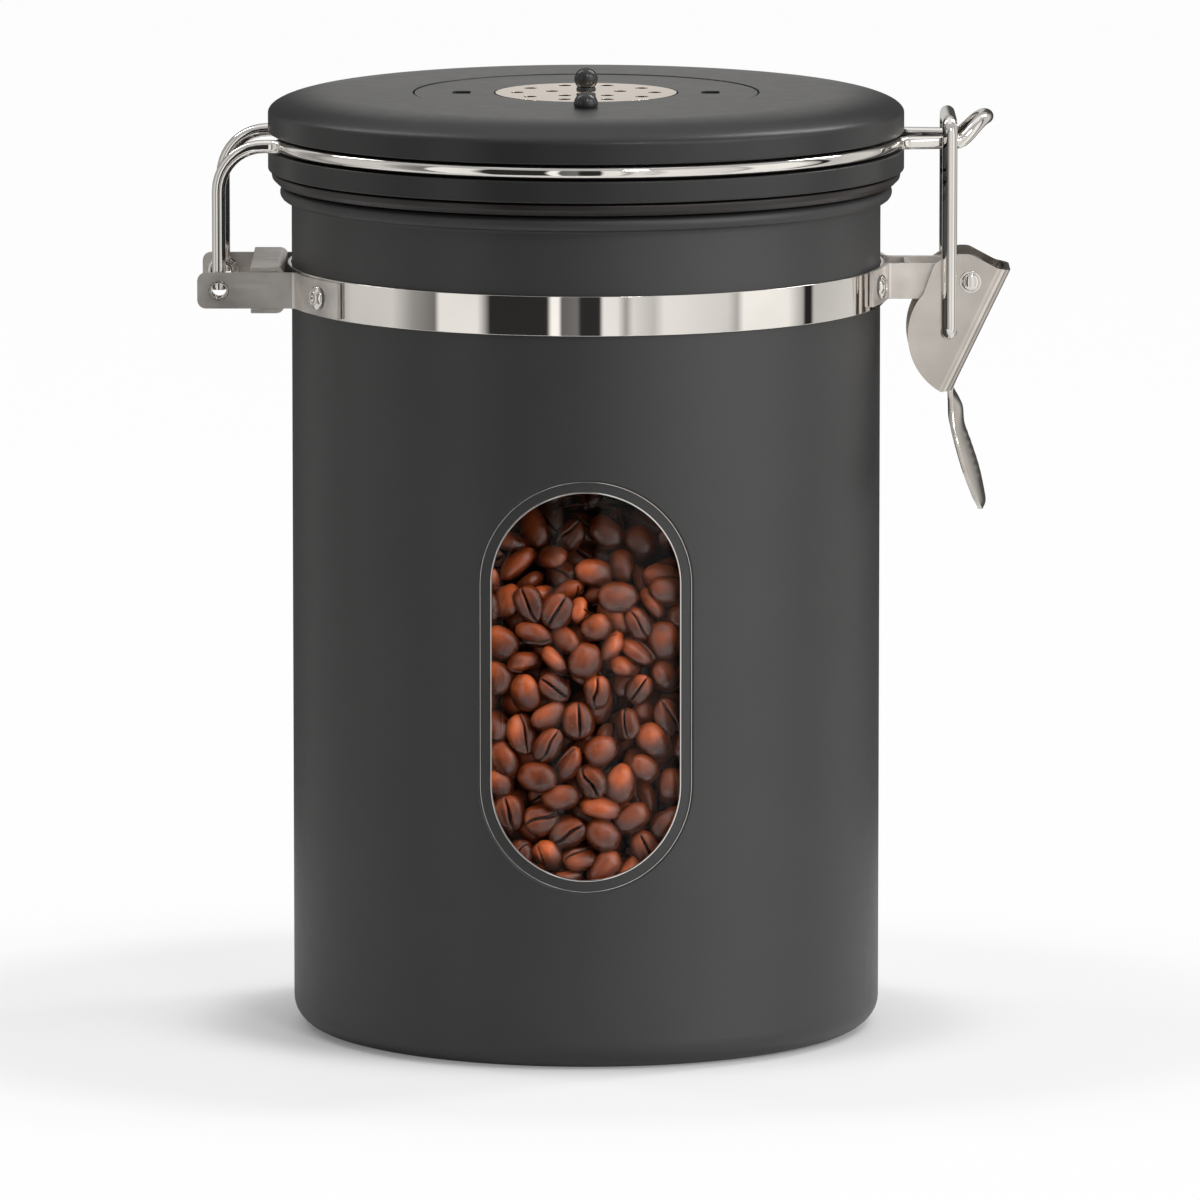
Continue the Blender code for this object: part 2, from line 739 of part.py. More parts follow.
def tab_value(share, column):
    """A value of the tab's table, read on a smooth curve through its rows."""
    last = len(tab_shares) - 1
    row = 0
    while row < last - 1 and share > tab_shares[row + 1][0]:
        row += 1
    before, low = tab_shares[max(row - 1, 0)], tab_shares[row]
    high, after = tab_shares[row + 1], tab_shares[min(row + 2, last)]
    span = high[0] - low[0]
    mix = (share - low[0]) / span
    rise_in = (high[column] - before[column]) / (high[0] - before[0]) * span
    rise_out = (after[column] - low[column]) / (after[0] - low[0]) * span
    square, cube = mix * mix, mix * mix * mix
    return ((2 * cube - 3 * square + 1) * low[column] + (cube - 2 * square + mix) * rise_in
            + (3 * square - 2 * cube) * high[column] + (cube - square) * rise_out)


def make_tab():
    """The cupped finger tab, a bowed sheet below the lever's web."""
    work = bmesh.new()
    bmesh.ops.create_grid(work, x_segments=tab_rows, y_segments=tab_columns, size=1)
    first = tab_shares[0][0]
    for vertex in work.verts:
        share = first + (1 - first) * (vertex.co.x + 1) / 2
        across = vertex.co.y
        lean = tab_value(share, 1) * tab_lean
        half = tab_value(share, 2) * tab_half_width
        bow = tab_value(share, 3) * tab_crown * across * across
        vertex.co = (lever_x + lever_toe.x + lean - bow, across * half,
                     lever_z + lever_toe.y - share * tab_length)
    mesh = bpy.data.meshes.new("tab")
    work.to_mesh(mesh)
    work.free()
    tab = add_object("tab", mesh, None, guides)
    sheet = tab.modifiers.new("sheet", "SOLIDIFY")
    sheet.thickness = lever_thickness
    sheet.offset = 0
    return tab


def make_pull_wire():
    """The loop that the lever pulls down over the nose. Its feet turn in through the lever."""
    foot_end = lever_half_width - 2 * lever_thickness
    leg, bend = leg_offset, pull_wire_bend_radius
    path = [(foot_x, -foot_end, foot_z), (foot_x, -leg, foot_z), (foot_x, -leg, bar_z),
            (foot_x, leg, bar_z), (foot_x, leg, foot_z), (foot_x, foot_end, foot_z)]
    radii = [0, pull_wire_foot_bend, bend, bend, pull_wire_foot_bend, 0]
    piece = wire("pull_wire", filleted(path, radii, wire_bend_steps), pull_wire_radius,
                 bright_steel)
    attach(piece, wire_pivot)


# Lid


def make_lid_shell():
    corner = (lid_radius - lid_shoulder_width, shoulder_low)
    outer = [(corner[0] + lid_shoulder_width * math.cos(a),
              shoulder_low + lid_shoulder_height * math.sin(a))
             for a in (math.pi / 2 * (1 - step / (2 * corner_steps))
                       for step in range(2 * corner_steps + 1))]
    inner_width = lid_inner - corner[0]
    inner_height = lid_shoulder_height - lid_wall
    inner = [(corner[0] + inner_width * math.cos(a), shoulder_low + inner_height * math.sin(a))
             for a in (math.pi / 2 * step / corner_steps for step in range(corner_steps + 1))]
    well = dial_radius + gap
    seat_hole = valve_seat_radius + gap
    profile = [(well, lid_top), *outer, (lid_radius, groove_top), (groove_radius, groove_top),
               (groove_radius, groove_low), (lid_radius, groove_low),
               (lid_radius, lid_low + lid_foot_chamfer),
               (lid_radius - lid_foot_chamfer, lid_low), (lid_inner, lid_low), *inner,
               (well + lid_wall, lid_top - lid_wall), (well + lid_wall, well_floor - lid_wall),
               (seat_hole, well_floor - lid_wall), (seat_hole, well_floor), (well, well_floor)]
    shell = turned("lid_shell", profile, round_steps, powder_coat)
    attach(shell, lid_pivot)


def make_liner():
    outer = lid_inner - gap
    shelf = lid_low
    neck = outer - liner_flange_width
    plug = body_radius - liner_plug_inset
    disc_top = shelf - liner_thickness / 2
    disc_low = disc_top - liner_thickness
    plug_low = body_height - liner_plug_depth + gap
    profile = [(0, disc_top), (neck - liner_thickness, disc_top),
               (neck - liner_thickness, shelf + liner_thickness), (outer, shelf + liner_thickness),
               (outer, shelf), (neck, shelf), (neck, gasket_low), (plug, gasket_low),
               (plug, plug_low), (plug - liner_thickness, plug_low),
               (plug - liner_thickness, disc_low), (0, disc_low)]
    liner = turned("lid_liner", profile, round_steps, dark_plastic, closed=False)
    holes = circle_places(grille_holes, grille_ring, disc_low) + [Vector((0, 0, disc_low))]
    combine(liner, rods("grille_holes", holes, grille_hole_radius, 4 * liner_thickness,
                        hole_steps), "DIFFERENCE")
    attach(liner, lid_pivot)

    edge = lid_radius - gasket_inset
    inner = neck + gap
    soft = gasket_thickness / 4
    profile = [(inner, gasket_top), (edge - soft, gasket_top), (edge, gasket_top - soft),
               (edge, gasket_low + soft), (edge - soft, gasket_low), (inner, gasket_low)]
    gasket = turned("lid_gasket", profile, round_steps, black_silicone)
    attach(gasket, lid_pivot)


def lid_wire_path():
    """Half of the lid wire, from the hinge's front eye to the nose's tip, mirrored later."""
    leg_y = -hinge_half_width
    root_y = -nose_root_half_width
    first = math.pi + math.asin(hinge_half_width / ring_radius)
    last = 2 * math.pi - math.asin(nose_root_half_width / ring_radius)
    count = round((last - first) / (2 * math.pi) * ring_steps)
    ring = [(ring_radius * math.cos(a), ring_radius * math.sin(a), wire_level)
            for a in (first + (last - first) * step / count for step in range(count + 1))]
    corners = [(hinge_x, leg_y, band_level), (hinge_x, leg_y, wire_level), *ring,
               (foot_x, -nose_half_width, wire_level)]
    radii = [0, lid_leg_bend_radius, lid_ring_bend_radius] + [0] * (count - 1)
    radii += [lid_ring_bend_radius, 0]
    path = filleted(corners, radii, wire_bend_steps)
    centre_x = foot_x + nose_reach - nose_half_width
    rise_start = foot_x + pull_wire_radius + gap
    rise_end = foot_x + nose_reach
    for step in range(nose_steps + 1):
        angle = math.pi / 2 * (step / nose_steps - 1)
        x = centre_x + nose_half_width * math.cos(angle)
        share = min(max((x - rise_start) / (rise_end - rise_start), 0), 1)
        rise = nose_rise * share * share * (3 - 2 * share)
        path.append(Vector((x, nose_half_width * math.sin(angle), wire_level + rise)))
    return path


def make_lid_wire():
    """One wire: hinge leg, half the ring, nose, the other half, and the other leg."""
    half = lid_wire_path()
    other = [Vector((point.x, -point.y, point.z)) for point in reversed(half[:-1])]
    piece = wire("lid_wire", half + other, lid_wire_radius, bright_steel)
    for side, place in ((-1, "front"), (1, "back")):
        eye = rods("eye_" + place, [Vector((hinge_x, side * hinge_half_width, band_level))],
                   eye_radius, eye_thickness, small_steps, "Y")
        combine(piece, eye, "UNION")
    hole = rods("eye_hole", [Vector((hinge_x, 0, band_level))], bush_radius + fine_gap,
                3 * hinge_half_width, small_steps, "Y")
    combine(piece, hole, "DIFFERENCE")
    attach(piece, lid_pivot)


def make_dial():
    ring = turned("number_ring", [(dial_radius - number_ring_width, number_top),
                                  (dial_radius - gap, number_top),
                                  (dial_radius - gap, number_low),
                                  (dial_radius - number_ring_width, number_low)],
                  dial_steps, pale_plastic)
    attach(ring, lid_pivot)

    inner = vent_radius + gap
    dial = turned("day_dial", [(inner, dial_top), (dial_radius, dial_top),
                               (dial_radius, dial_low), (inner, dial_low)],
                  dial_steps, dark_plastic)
    length, width = dial_window_length / 2, dial_window_width / 2
    outline = [(length, width), (-length, width), (-length, -width), (length, -width)]
    rounded = filleted(outline, [width / 3] * 4, corner_steps, closed=True)
    for side, place in ((-1, "left"), (1, "right")):
        window = plate("dial_window_" + place, rounded, 4 * dial_thickness, None,
                       Matrix.Translation((side * dial_window_radius, 0, dial_top)), guides)
        combine(dial, window, "DIFFERENCE")
    place = Vector((0, -day_knob_place, dial_low))
    combine(dial, rods("day_knob_hole", [place], knob_stem_radius + fine_gap,
                       4 * dial_thickness, small_steps), "DIFFERENCE")
    attach(dial, dial_pivot)

    seat = dial_top + fine_gap
    centre = seat + day_knob_height - day_knob_radius
    start = -math.asin((centre - seat) / day_knob_radius)
    ball = arc((0, centre), day_knob_radius, math.pi / 2, start, 2 * corner_steps)
    ball[0] = (0, seat + day_knob_height)
    profile = [*ball, (knob_stem_radius, seat), (knob_stem_radius, dial_low + fine_gap),
               (0, dial_low + fine_gap)]
    knob = turned("day_knob", profile, small_steps, dark_plastic, closed=False)
    knob.location = (0, -day_knob_place, 0)
    attach(knob, dial_pivot)


def make_vent():
    hub = vent_collar_radius
    disc = turned("vent_disc", [(knob_stem_radius + fine_gap, dial_top),
                                (vent_radius, dial_top), (vent_radius, vent_low),
                                (knob_stem_radius + fine_gap, vent_low)],
                  dial_steps, champagne_metal)
    holes = circle_places(vent_outer_holes, vent_outer_ring, vent_low)
    holes += circle_places(vent_inner_holes, vent_inner_ring, vent_low, math.pi / 2)
    combine(disc, rods("vent_holes", holes, vent_hole_radius, 4 * vent_thickness,
                       hole_steps), "DIFFERENCE")
    attach(disc, vent_pivot)

    seat = dial_top + fine_gap
    neck = seat + vent_collar_height
    centre = seat + vent_knob_height - vent_knob_radius
    start = -math.asin((centre - neck) / vent_knob_radius)
    ball = arc((0, centre), vent_knob_radius, math.pi / 2, start, 2 * corner_steps)
    ball[0] = (0, seat + vent_knob_height)
    foot = vent_low - fine_gap
    profile = [*ball, (hub, neck), (hub, seat), (knob_stem_radius, seat),
               (knob_stem_radius, foot), (0, foot)]
    knob = turned("centre_knob", profile, small_steps, dark_plastic, closed=False)
    attach(knob, vent_pivot)


def make_valve():
    rim_outer = vent_radius - fine_gap
    rim_inner = rim_outer - valve_rim_width
    rim_top = vent_low - fine_gap
    flange_low = well_floor + fine_gap
    stem_hole = flap_stem_radius + fine_gap
    profile = [(stem_hole, valve_top), (rim_inner, valve_top), (rim_inner, rim_top),
               (rim_outer, rim_top), (rim_outer, flange_low), (valve_seat_radius, flange_low),
               (valve_seat_radius, valve_low), (stem_hole, valve_low)]
    seat = turned("valve_seat", profile, dial_steps, pale_plastic)
    combine(seat, rods("valve_holes", circle_places(valve_holes, valve_hole_ring, valve_low),
                       valve_hole_radius, 4 * valve_seat_thickness, hole_steps),
            "DIFFERENCE")
    attach(seat, lid_pivot)

    bulb_top = valve_low - flap_lift - fine_gap
    profile = [(0, flap_low + flap_thickness), (flap_radius, flap_low + flap_thickness),
               (flap_radius, flap_low), (flap_stem_radius, flap_low),
               (flap_stem_radius, bulb_top), (flap_bulb_radius, bulb_top - flap_thickness),
               (0, bulb_top - 3 * flap_thickness)]
    flap = turned("valve_flap", profile, small_steps, white_silicone, closed=False)
    attach(flap, flap_pivot)


def apply_shapes():
    """Keeps each piece's final mesh, shaded smooth but for its sharp edges."""
    bpy.context.view_layer.update()
    pieces = [piece for piece in parts.objects if piece.type != "EMPTY"]
    state = bpy.context.evaluated_depsgraph_get()
    meshes = [bpy.data.meshes.new_from_object(piece.evaluated_get(state)) for piece in pieces]
    for piece, mesh in zip(pieces, meshes):
        piece.modifiers.clear()
        piece.data = mesh
        mesh.shade_smooth()
        mesh.set_sharp_from_angle(angle=sharp_angle)


make_body()
make_window()
make_band()
make_hinge()
make_latch_ears()
make_lever_pin()
make_lever()
make_pull_wire()
make_lid_shell()
make_liner()
make_lid_wire()
make_dial()
make_vent()
make_valve()
apply_shapes()
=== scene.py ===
"""Looks for the coffee canister: finishes, round wires, the moulded window, coffee beans behind
it, the numbers under the dial, and a plain studio.

Metres, +Z up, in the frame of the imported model. The window faces -Y, the hinge is at -X.
"""
import json
import math
import random
import bmesh
import bpy
import numpy as np
from mathutils import Matrix, Vector, noise as field

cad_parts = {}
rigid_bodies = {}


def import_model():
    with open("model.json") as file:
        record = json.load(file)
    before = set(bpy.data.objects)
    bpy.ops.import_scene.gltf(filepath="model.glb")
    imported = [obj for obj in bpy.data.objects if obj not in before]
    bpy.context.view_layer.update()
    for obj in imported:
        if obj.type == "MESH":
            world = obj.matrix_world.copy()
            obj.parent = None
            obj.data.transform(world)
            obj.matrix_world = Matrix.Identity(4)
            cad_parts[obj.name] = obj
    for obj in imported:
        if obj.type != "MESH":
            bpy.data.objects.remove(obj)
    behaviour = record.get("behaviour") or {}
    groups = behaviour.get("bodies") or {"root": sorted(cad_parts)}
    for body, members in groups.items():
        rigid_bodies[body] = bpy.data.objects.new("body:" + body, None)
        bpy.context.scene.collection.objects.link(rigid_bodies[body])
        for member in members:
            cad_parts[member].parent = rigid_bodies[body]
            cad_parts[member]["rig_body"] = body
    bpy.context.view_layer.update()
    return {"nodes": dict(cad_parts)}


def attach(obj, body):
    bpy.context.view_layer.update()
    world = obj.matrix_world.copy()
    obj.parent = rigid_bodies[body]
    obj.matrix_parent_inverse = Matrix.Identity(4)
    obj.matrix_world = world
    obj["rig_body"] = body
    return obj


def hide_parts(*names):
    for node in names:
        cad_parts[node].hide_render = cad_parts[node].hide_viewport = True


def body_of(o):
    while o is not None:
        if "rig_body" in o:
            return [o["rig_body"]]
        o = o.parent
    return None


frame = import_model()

# Sizes that the model shares with its source
gap = 0.0003
fine_gap = 0.00015
body_radius = 0.0592
body_height = 0.1706
wall = 0.0008
base_corner_radius = 0.0055
rim_bead_radius = 0.00155
rim_bead_reach = 0.0023
window_width = 0.0373
window_height = 0.0774
window_level = 0.0770
window_land = 0.00255
window_land_depth = 0.00035
pane_flange_outer = 0.0573
pane_inner = 0.0561
pane_flange = 0.0043              # how far the flange reaches past the hole
pane_step = 0.0022
pane_step_depth = 0.0006
band_level = 0.1509
band_half_height = 0.00395
band_inner = 0.05935
band_outer = 0.06005
ear_outer = 0.06100               # where a rivet's head sits on an ear's wrap
rivet_head_radius = 0.0024
rivet_head_height = 0.0011
rivet_shank_radius = 0.0011
hinge_rivet_angle = math.radians(29)    # in plan, from the hinge's side
latch_rivet_angle = math.radians(15)
hinge_x = -0.0734
hinge_half_width = 0.0155
ear_inner = 0.01715
ear_thickness = 0.0008
bush_bore = 0.0015
bush_radius = 0.0019
bush_flange = 0.0008
eye_radius = 0.0032
eye_thickness = 0.0020
eye_bore = 0.00205
lever_x = 0.0771
lever_z = 0.1515
lever_half_width = 0.0082
lever_thickness = 0.0009
lever_fold_radius = 0.0026
pin_radius = 0.0014
pin_head_radius = 0.0022
pin_flange = 0.0003
pin_dome_radius = 0.0018
pin_dome_height = 0.0007
foot_x = 0.0728
foot_z = 0.1414
foot_end = 0.0064
bar_z = 0.18385
leg_offset = 0.01115
pull_wire_radius = 0.0015
pull_wire_bend_radius = 0.0030
pull_wire_foot_bend = 0.0017
lid_radius = 0.0639
lid_low = 0.1736
lid_inner = 0.0602
lid_wall = 0.0012
groove_low = 0.17795
groove_top = 0.18125
groove_radius = 0.0611
shoulder_low = 0.1850
shoulder_width = 0.0139
lid_top = 0.1890
well_floor = 0.1858
gasket_low = 0.1709
gasket_top = 0.1733
gasket_outer = 0.0633
gasket_inner = 0.0574
wire_level = 0.1796
lid_wire_radius = 0.00135
lid_wire_proud = 0.0002
lid_leg_bend_radius = 0.0090
lid_ring_bend_radius = 0.0040
nose_root_half_width = 0.0090
nose_half_width = 0.0075
nose_reach = 0.0077
nose_rise = 0.0045
dial_radius = 0.0345
dial_low = 0.18725
dial_top = 0.18885
dial_window_radius = 0.0250
dial_window_length = 0.0036
dial_window_width = 0.0050
number_top = 0.18685
day_knob_radius = 0.0024
day_knob_height = 0.0029
day_knob_place = 0.0282
knob_stem_radius = 0.0010
vent_radius = 0.0182
vent_low = 0.18805
vent_outer_ring = 0.0138
vent_inner_ring = 0.0072
vent_hole_radius = 0.0013
disc_sheet = 0.00005              # the bright sheet on the vent disc
vent_knob_radius = 0.00235
vent_knob_height = 0.0049
vent_collar_radius = 0.00195
vent_collar_height = 0.0009
valve_seat_radius = 0.0157

# Lever outlines, from its pivot along X and Z
lever_heel = Vector((0.0081, 0.0022))
lever_toe = Vector((-0.0036, -0.0221))
lever_top = 0.0056
lever_top_run = 0.0020
lever_shoulder = Vector((-0.0073, 0.0034))
lever_belly_radius = 0.0131
lever_belly_centre = Vector((0.0006, -0.0109))
lever_belly_end = math.radians(-220)
tab_length = 0.0248
tab_half_width = 0.0092
tab_crown = 0.0027
tab_lean = 0.00665
# Down the tab: shares of its length, its lean, its half width and its crown
tab_shares = [(-0.12, 0.14, 0.62, 0.00), (0.00, 0.02, 0.56, 0.10), (0.08, 0.165, 0.50, 0.45),
              (0.157, 0.293, 0.50, 0.74), (0.298, 0.353, 0.68, 0.81), (0.46, 0.564, 0.90, 0.96),
              (0.66, 0.805, 1.00, 1.00), (0.863, 0.97, 0.80, 0.70), (0.944, 1.00, 0.55, 0.44),
              (1.00, 0.917, 0.18, 0.05)]
# The tab's grip bumps, in shares of its length and its half width
bumps = 6
bumps_from = 0.34
bumps_to = 0.74
bumps_reach = 0.64
bump_height = 0.00018

# Details that only this script has
patch_half_height = 0.052         # the can's finer patch round the window
blend_shares = (0.12, 0.3, 0.5, 0.7, 0.86)
number_size = 0.0027
number_height = 0.00012
rivet_edge = 0.00008
# Across a rivet's head: a share of its radius, the drop from its top, and the rounding
rivet_head = [(0, 0.00035, 0), (0.16, 0.00035, 0.00008), (0.24, 0, 0.00010),
              (0.50, 0.00004, 0.00020), (0.58, 0.00025, 0.00012), (0.66, 0.00010, 0.00015),
              (0.97, 0.00068, 0.00030)]

# Edges
pane_flange_edge = 0.0003
soft_edge = 0.00012               # rounding of sheet metal and small mouldings
coat_edge = 0.00035               # rounding of the lid's edges under their coat
band_edge = 0.000168
crest_edges = [0.0012, 0.0015, 0.0020, 0.0030, 0.0040]
weld = 0.000002                   # points closer than this become one
fine_weld = 0.000001

# Counts
bend_steps = 10
fine_steps = 192                  # round the lid and the band
knob_steps = 40
body_columns = 160                # round the can
window_columns = 13               # from the window's middle to the side of its patch
window_rows = 26                  # up the window's patch
wire_sides = 24
wire_ring_steps = 120
nose_steps = 14

nodes = frame["nodes"]
scene = bpy.context.scene


# Materials


def feed(tree, made, inputs):
    """Sets a node's sockets. A value that is another node's output is linked."""
    for socket, value in inputs.items():
        if isinstance(value, bpy.types.NodeSocket):
            tree.links.new(value, made.inputs[socket])
        else:
            made.inputs[socket].default_value = value


def node(tree, kind, inputs=None, **values):
    made = tree.nodes.new("ShaderNode" + kind)
    for name, value in values.items():
        setattr(made, name, value)
    feed(tree, made, inputs or {})
    return made


def mixed(tree, share, first, second):
    """Two shaders mixed: the first where the share is 0."""
    return node(tree, "MixShader", {0: share, 1: first, 2: second}).outputs[0]


def show(tree, shader):
    tree.links.new(shader, tree.nodes["Material Output"].inputs["Surface"])


def material(name, colour, roughness, **values):
    """A Principled material, its tree and its shader. Further values go by socket name."""
    made = bpy.data.materials.new(name)
    made.use_nodes = True
    made.diffuse_color = (*colour, 1)
    tree = made.node_tree
    shader = tree.nodes["Principled BSDF"]
    feed(tree, shader, {"Base Color": (*colour, 1), "Roughness": roughness})
    feed(tree, shader, {key.replace("_", " "): value for key, value in values.items()})
    return made, tree, shader


def scaled(colour, share):
    return tuple(value * share for value in colour)


def stretched_place(tree, stretch):
    """Object coordinates, in metres, scaled by a stretch along each axis."""
    place = node(tree, "TexCoord").outputs["Object"]
    return node(tree, "Mapping", {"Scale": stretch, "Vector": place}).outputs["Vector"]


def noise(tree, scale, detail=2.0, roughness=0.5, stretch=(1, 1, 1)):
    return node(tree, "TexNoise", {"Scale": scale, "Detail": detail, "Roughness": roughness,
                                   "Vector": stretched_place(tree, stretch)}).outputs["Fac"]


def ranged(tree, source, low, high):
    """A 0 to 1 value mapped to a range."""
    return node(tree, "MapRange", {"Value": source, "To Min": low,
                                   "To Max": high}).outputs["Result"]


def ramp(tree, source, stops):
    """Colours along a 0 to 1 value. stops are (place, colour) pairs."""
    made = node(tree, "ValToRGB", {"Fac": source})
    points = made.color_ramp.elements
    while len(points) < len(stops):
        points.new(0.5)
    for point, (place, colour) in zip(points, stops):
        point.position = place
        point.color = (*colour, 1)
    return made.outputs["Color"]


def bump(tree, shader, height, distance, strength):
    made = node(tree, "Bump", {"Height": height, "Distance": distance, "Strength": strength})
    tree.links.new(made.outputs["Normal"], shader.inputs["Normal"])


def make_finish(name, colour, roughness, grain, depth, strength, drift=None, gloss=None,
                **values):
    """A finish with grain. roughness is (lowest, middle, highest), grain and gloss are noises,
    and drift is a slow change of tone as (scale, detail, first place, dimmest, brightest)."""
    made, tree, shader = material(name, colour, roughness[1], **values)
    lines = noise(tree, *grain)
    source = noise(tree, *gloss) if gloss else lines
    feed(tree, shader, {"Roughness": ranged(tree, source, roughness[0], roughness[2])})
    if drift:
        scale, detail, place, dimmest, brightest = drift
        stops = [(place, scaled(colour, dimmest)), (1 - place, scaled(colour, brightest))]
        feed(tree, shader, {"Base Color": ramp(tree, noise(tree, scale, detail), stops)})
    bump(tree, shader, lines, depth, strength)
    return made


def make_powder_coat(name, tone, roughness, shine=0.5):
    """Fine matte powder coat: a grain under half a millimetre and faint drifts of tone."""
    return make_finish(name, (tone, tone, tone * 1.01),
                       (roughness - 0.04, roughness, roughness + 0.04), (2600, 2, 0.6), 0.00002,
                       0.5, (45, 3, 0.3, 0.94, 1.06), (320, 3), Specular_IOR_Level=shine)


def make_steel(name, colour, roughness, stretch=(1, 1, 1), grain=900, depth=0.000004,
               dimmest=0.93, metallic=1.0):
    """Polished or brushed metal. stretch draws the grain out along an axis."""
    return make_finish(name, colour, (roughness * 0.7, roughness, roughness * 1.4),
                       (grain, 4, 0.6, stretch), depth, 0.6, (60, 3, 0.35, dimmest, 1),
                       Metallic=metallic)


def make_silicone(name, colour, roughness):
    return make_finish(name, colour, (roughness * 0.75, roughness, roughness * 1.35),
                       (700, 4, 0.7), 0.00001, 0.4)


def make_plastic(name, colour, roughness, grain=1500, shine=0.5):
    return make_finish(name, colour, (roughness - 0.05, roughness, roughness + 0.05),
                       (grain, 3, 0.6), 0.00001, 0.4, (90, 2, 0.35, 0.92, 1),
                       Specular_IOR_Level=shine)


def make_clear(name, tint):
    """Clear moulded plastic that lets lamps through, with faint wipe marks in its gloss."""
    made, tree, shader = material(name, tint, 0.02, IOR=1.16, Transmission_Weight=1.0)
    wiped = ranged(tree, noise(tree, 60, 4, 0.6, (1, 1, 0.15)), 0.0, 0.02)
    feed(tree, shader, {"Roughness": wiped})
    show(tree, mixed(tree, node(tree, "LightPath").outputs["Is Shadow Ray"],
                     shader.outputs["BSDF"], node(tree, "BsdfTransparent").outputs["BSDF"]))
    return made


def make_roast(name, colour, roughness, shine):
    """Roasted bean: uneven brown, an oily sheen, fine wrinkles, and a crease darkened with
    painted shade, its lips lightened as a painted highlight. Its meshes carry a tone, which is
    each bean's own roast times painted shade, and the crease from 0 to 1 with 0.3 for none."""
    made, tree, shader = material(name, colour, roughness, Specular_IOR_Level=shine)
    shade = ramp(tree, noise(tree, 260, 4, 0.6),
                 [(0.32, scaled(colour, 0.55)), (0.50, colour), (0.75, scaled(colour, 1.2))])
    for label, stops in (("tone", [(0.0, (0.10, 0.09, 0.09)), (0.5, (0.48, 0.46, 0.45)),
                                   (1.0, (1.2, 1.2, 1.2))]),
                         ("crease", [(0.0, (1.5, 1.45, 1.4)), (0.3, (1, 1, 1)),
                                     (0.6, (0.35, 0.3, 0.3)), (1.0, (0.05, 0.04, 0.04))])):
        value = node(tree, "Attribute", attribute_name=label).outputs["Fac"]
        # a colour mix has its own sockets after those for numbers and vectors
        shade = node(tree, "Mix", {"Factor": 1.0, 6: shade, 7: ramp(tree, value, stops)},
                     data_type="RGBA", blend_type="MULTIPLY").outputs[2]
    feed(tree, shader, {"Base Color": shade, "Roughness": ranged(
        tree, noise(tree, 500, 3), roughness - 0.10, roughness + 0.15)})
    bump(tree, shader, noise(tree, 900, 5, 0.65), 0.00016, 0.8)
    return made


bright = (0.80, 0.77, 0.735)
body_coat = make_powder_coat("body_coat", 0.026, 0.45)
lid_coat = make_powder_coat("lid_coat", 0.018, 0.36, 0.38)
dial_coat = make_powder_coat("dial_coat", 0.018, 0.36, 0.38)
polished = make_steel("polished_steel", bright, 0.025, (1, 1, 1), 250, 0.000001)
band_steel = make_steel("band_steel", bright, 0.035, (0.02, 0.02, 1), 2500, 0.000001)
stamped_steel = make_steel("stamped_steel", (0.70, 0.655, 0.61), 0.16, (1, 1, 0.1), 1200,
                           0.000002, 0.78)
# painted reflection: the ears' deep slow drift of tone, down to half, stands in for the bright
# and dark patches that reflections put on them
ear_steel = make_steel("ear_steel", (0.88, 0.83, 0.78), 0.33, (0.1, 1, 1), 1800, 0.000003, 0.50,
                       0.72)
champagne = make_steel("champagne_metal", (0.95, 0.79, 0.64), 0.12, (1, 1, 1), 260, 0.00002)
black_silicone = make_silicone("black_silicone", (0.009, 0.006, 0.005), 0.34)
white_silicone = make_silicone("white_silicone", (0.60, 0.60, 0.58), 0.42)
knob_black = make_plastic("knob_black", (0.022, 0.022, 0.023), 0.28)
liner_plastic = make_plastic("liner_plastic", (0.040, 0.040, 0.042), 0.45)
# painted shade: near-black with almost no gloss, so that the vent's holes read dark
hole_shade_black = make_plastic("hole_shade_black", (0.004, 0.004, 0.004), 0.6, shine=0.02)
ink = make_plastic("ink", (0.020, 0.020, 0.022), 0.5, 3000)
ring_plastic = make_plastic("ring_plastic", (0.62, 0.62, 0.60), 0.40)
clear_plastic = make_clear("clear_plastic", (0.97, 0.98, 0.98))
roast = make_roast("roasted_bean", (0.55, 0.112, 0.028), 0.19, 0.80)
# painted shade: the beans deep in the can, as one near-black brown
bean_shade = make_roast("bean_shade", (0.030, 0.009, 0.004), 0.8, 0.05)


# Shapes


def linked(name, data):
    """A new object in the scene."""
    made = bpy.data.objects.new(name, data)
    scene.collection.objects.link(made)
    return made


def plain_mesh(name, work):
    mesh = bpy.data.meshes.new(name)
    work.to_mesh(mesh)
    work.free()
    return mesh


def add_piece(name, work, look, replaced=(), body=None, sharp=35):
    """A piece from a bmesh or a mesh. It rides on a body, or else on that of what it replaces."""
    data = finished_mesh(name, work, sharp) if isinstance(work, bmesh.types.BMesh) else work
    data.materials.clear()
    data.materials.append(look)
    piece = linked(name, data)
    even = piece.modifiers.new("even normals", "WEIGHTED_NORMAL")
    even.keep_sharp = True
    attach(piece, body or body_of(nodes[replaced[0]])[0])
    if replaced:
        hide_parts(*replaced)


def finished_mesh(name, work, sharp):
    """A mesh from a bmesh, with its normals out and its edges sharp past an angle."""
    bmesh.ops.recalc_face_normals(work, faces=work.faces)
    mesh = plain_mesh(name, work)
    mesh.shade_smooth()
    mesh.set_sharp_from_angle(angle=math.radians(sharp))
    return mesh


def mark(mesh, label, values):
    """Gives each vertex a number that a material reads."""
    mesh.attributes.new(label, "FLOAT", "POINT").data.foreach_set("value", values)


def filleted(points, radii, steps, closed=False):
    """A path's points with each corner turned into an arc of its radius."""
    points = [Vector(point).to_3d() for point in points]
    result = []
    for i, corner in enumerate(points):
        radius = radii[i]
        if radius == 0 or (not closed and i in (0, len(points) - 1)):
            result.append(corner)
            continue
        before = (points[i - 1] - corner).normalized()
        after = (points[(i + 1) % len(points)] - corner).normalized()
        turn = math.pi - before.angle(after)
        reach = radius * math.tan(turn / 2)
        centre = corner + (before + after).normalized() * (radius / math.cos(turn / 2))
        first = corner + before * reach - centre
        last = corner + after * reach - centre
        axis = first.cross(last).normalized()
        for step in range(steps + 1):
            result.append(centre + Matrix.Rotation(turn * step / steps, 3, axis) @ first)
    return result


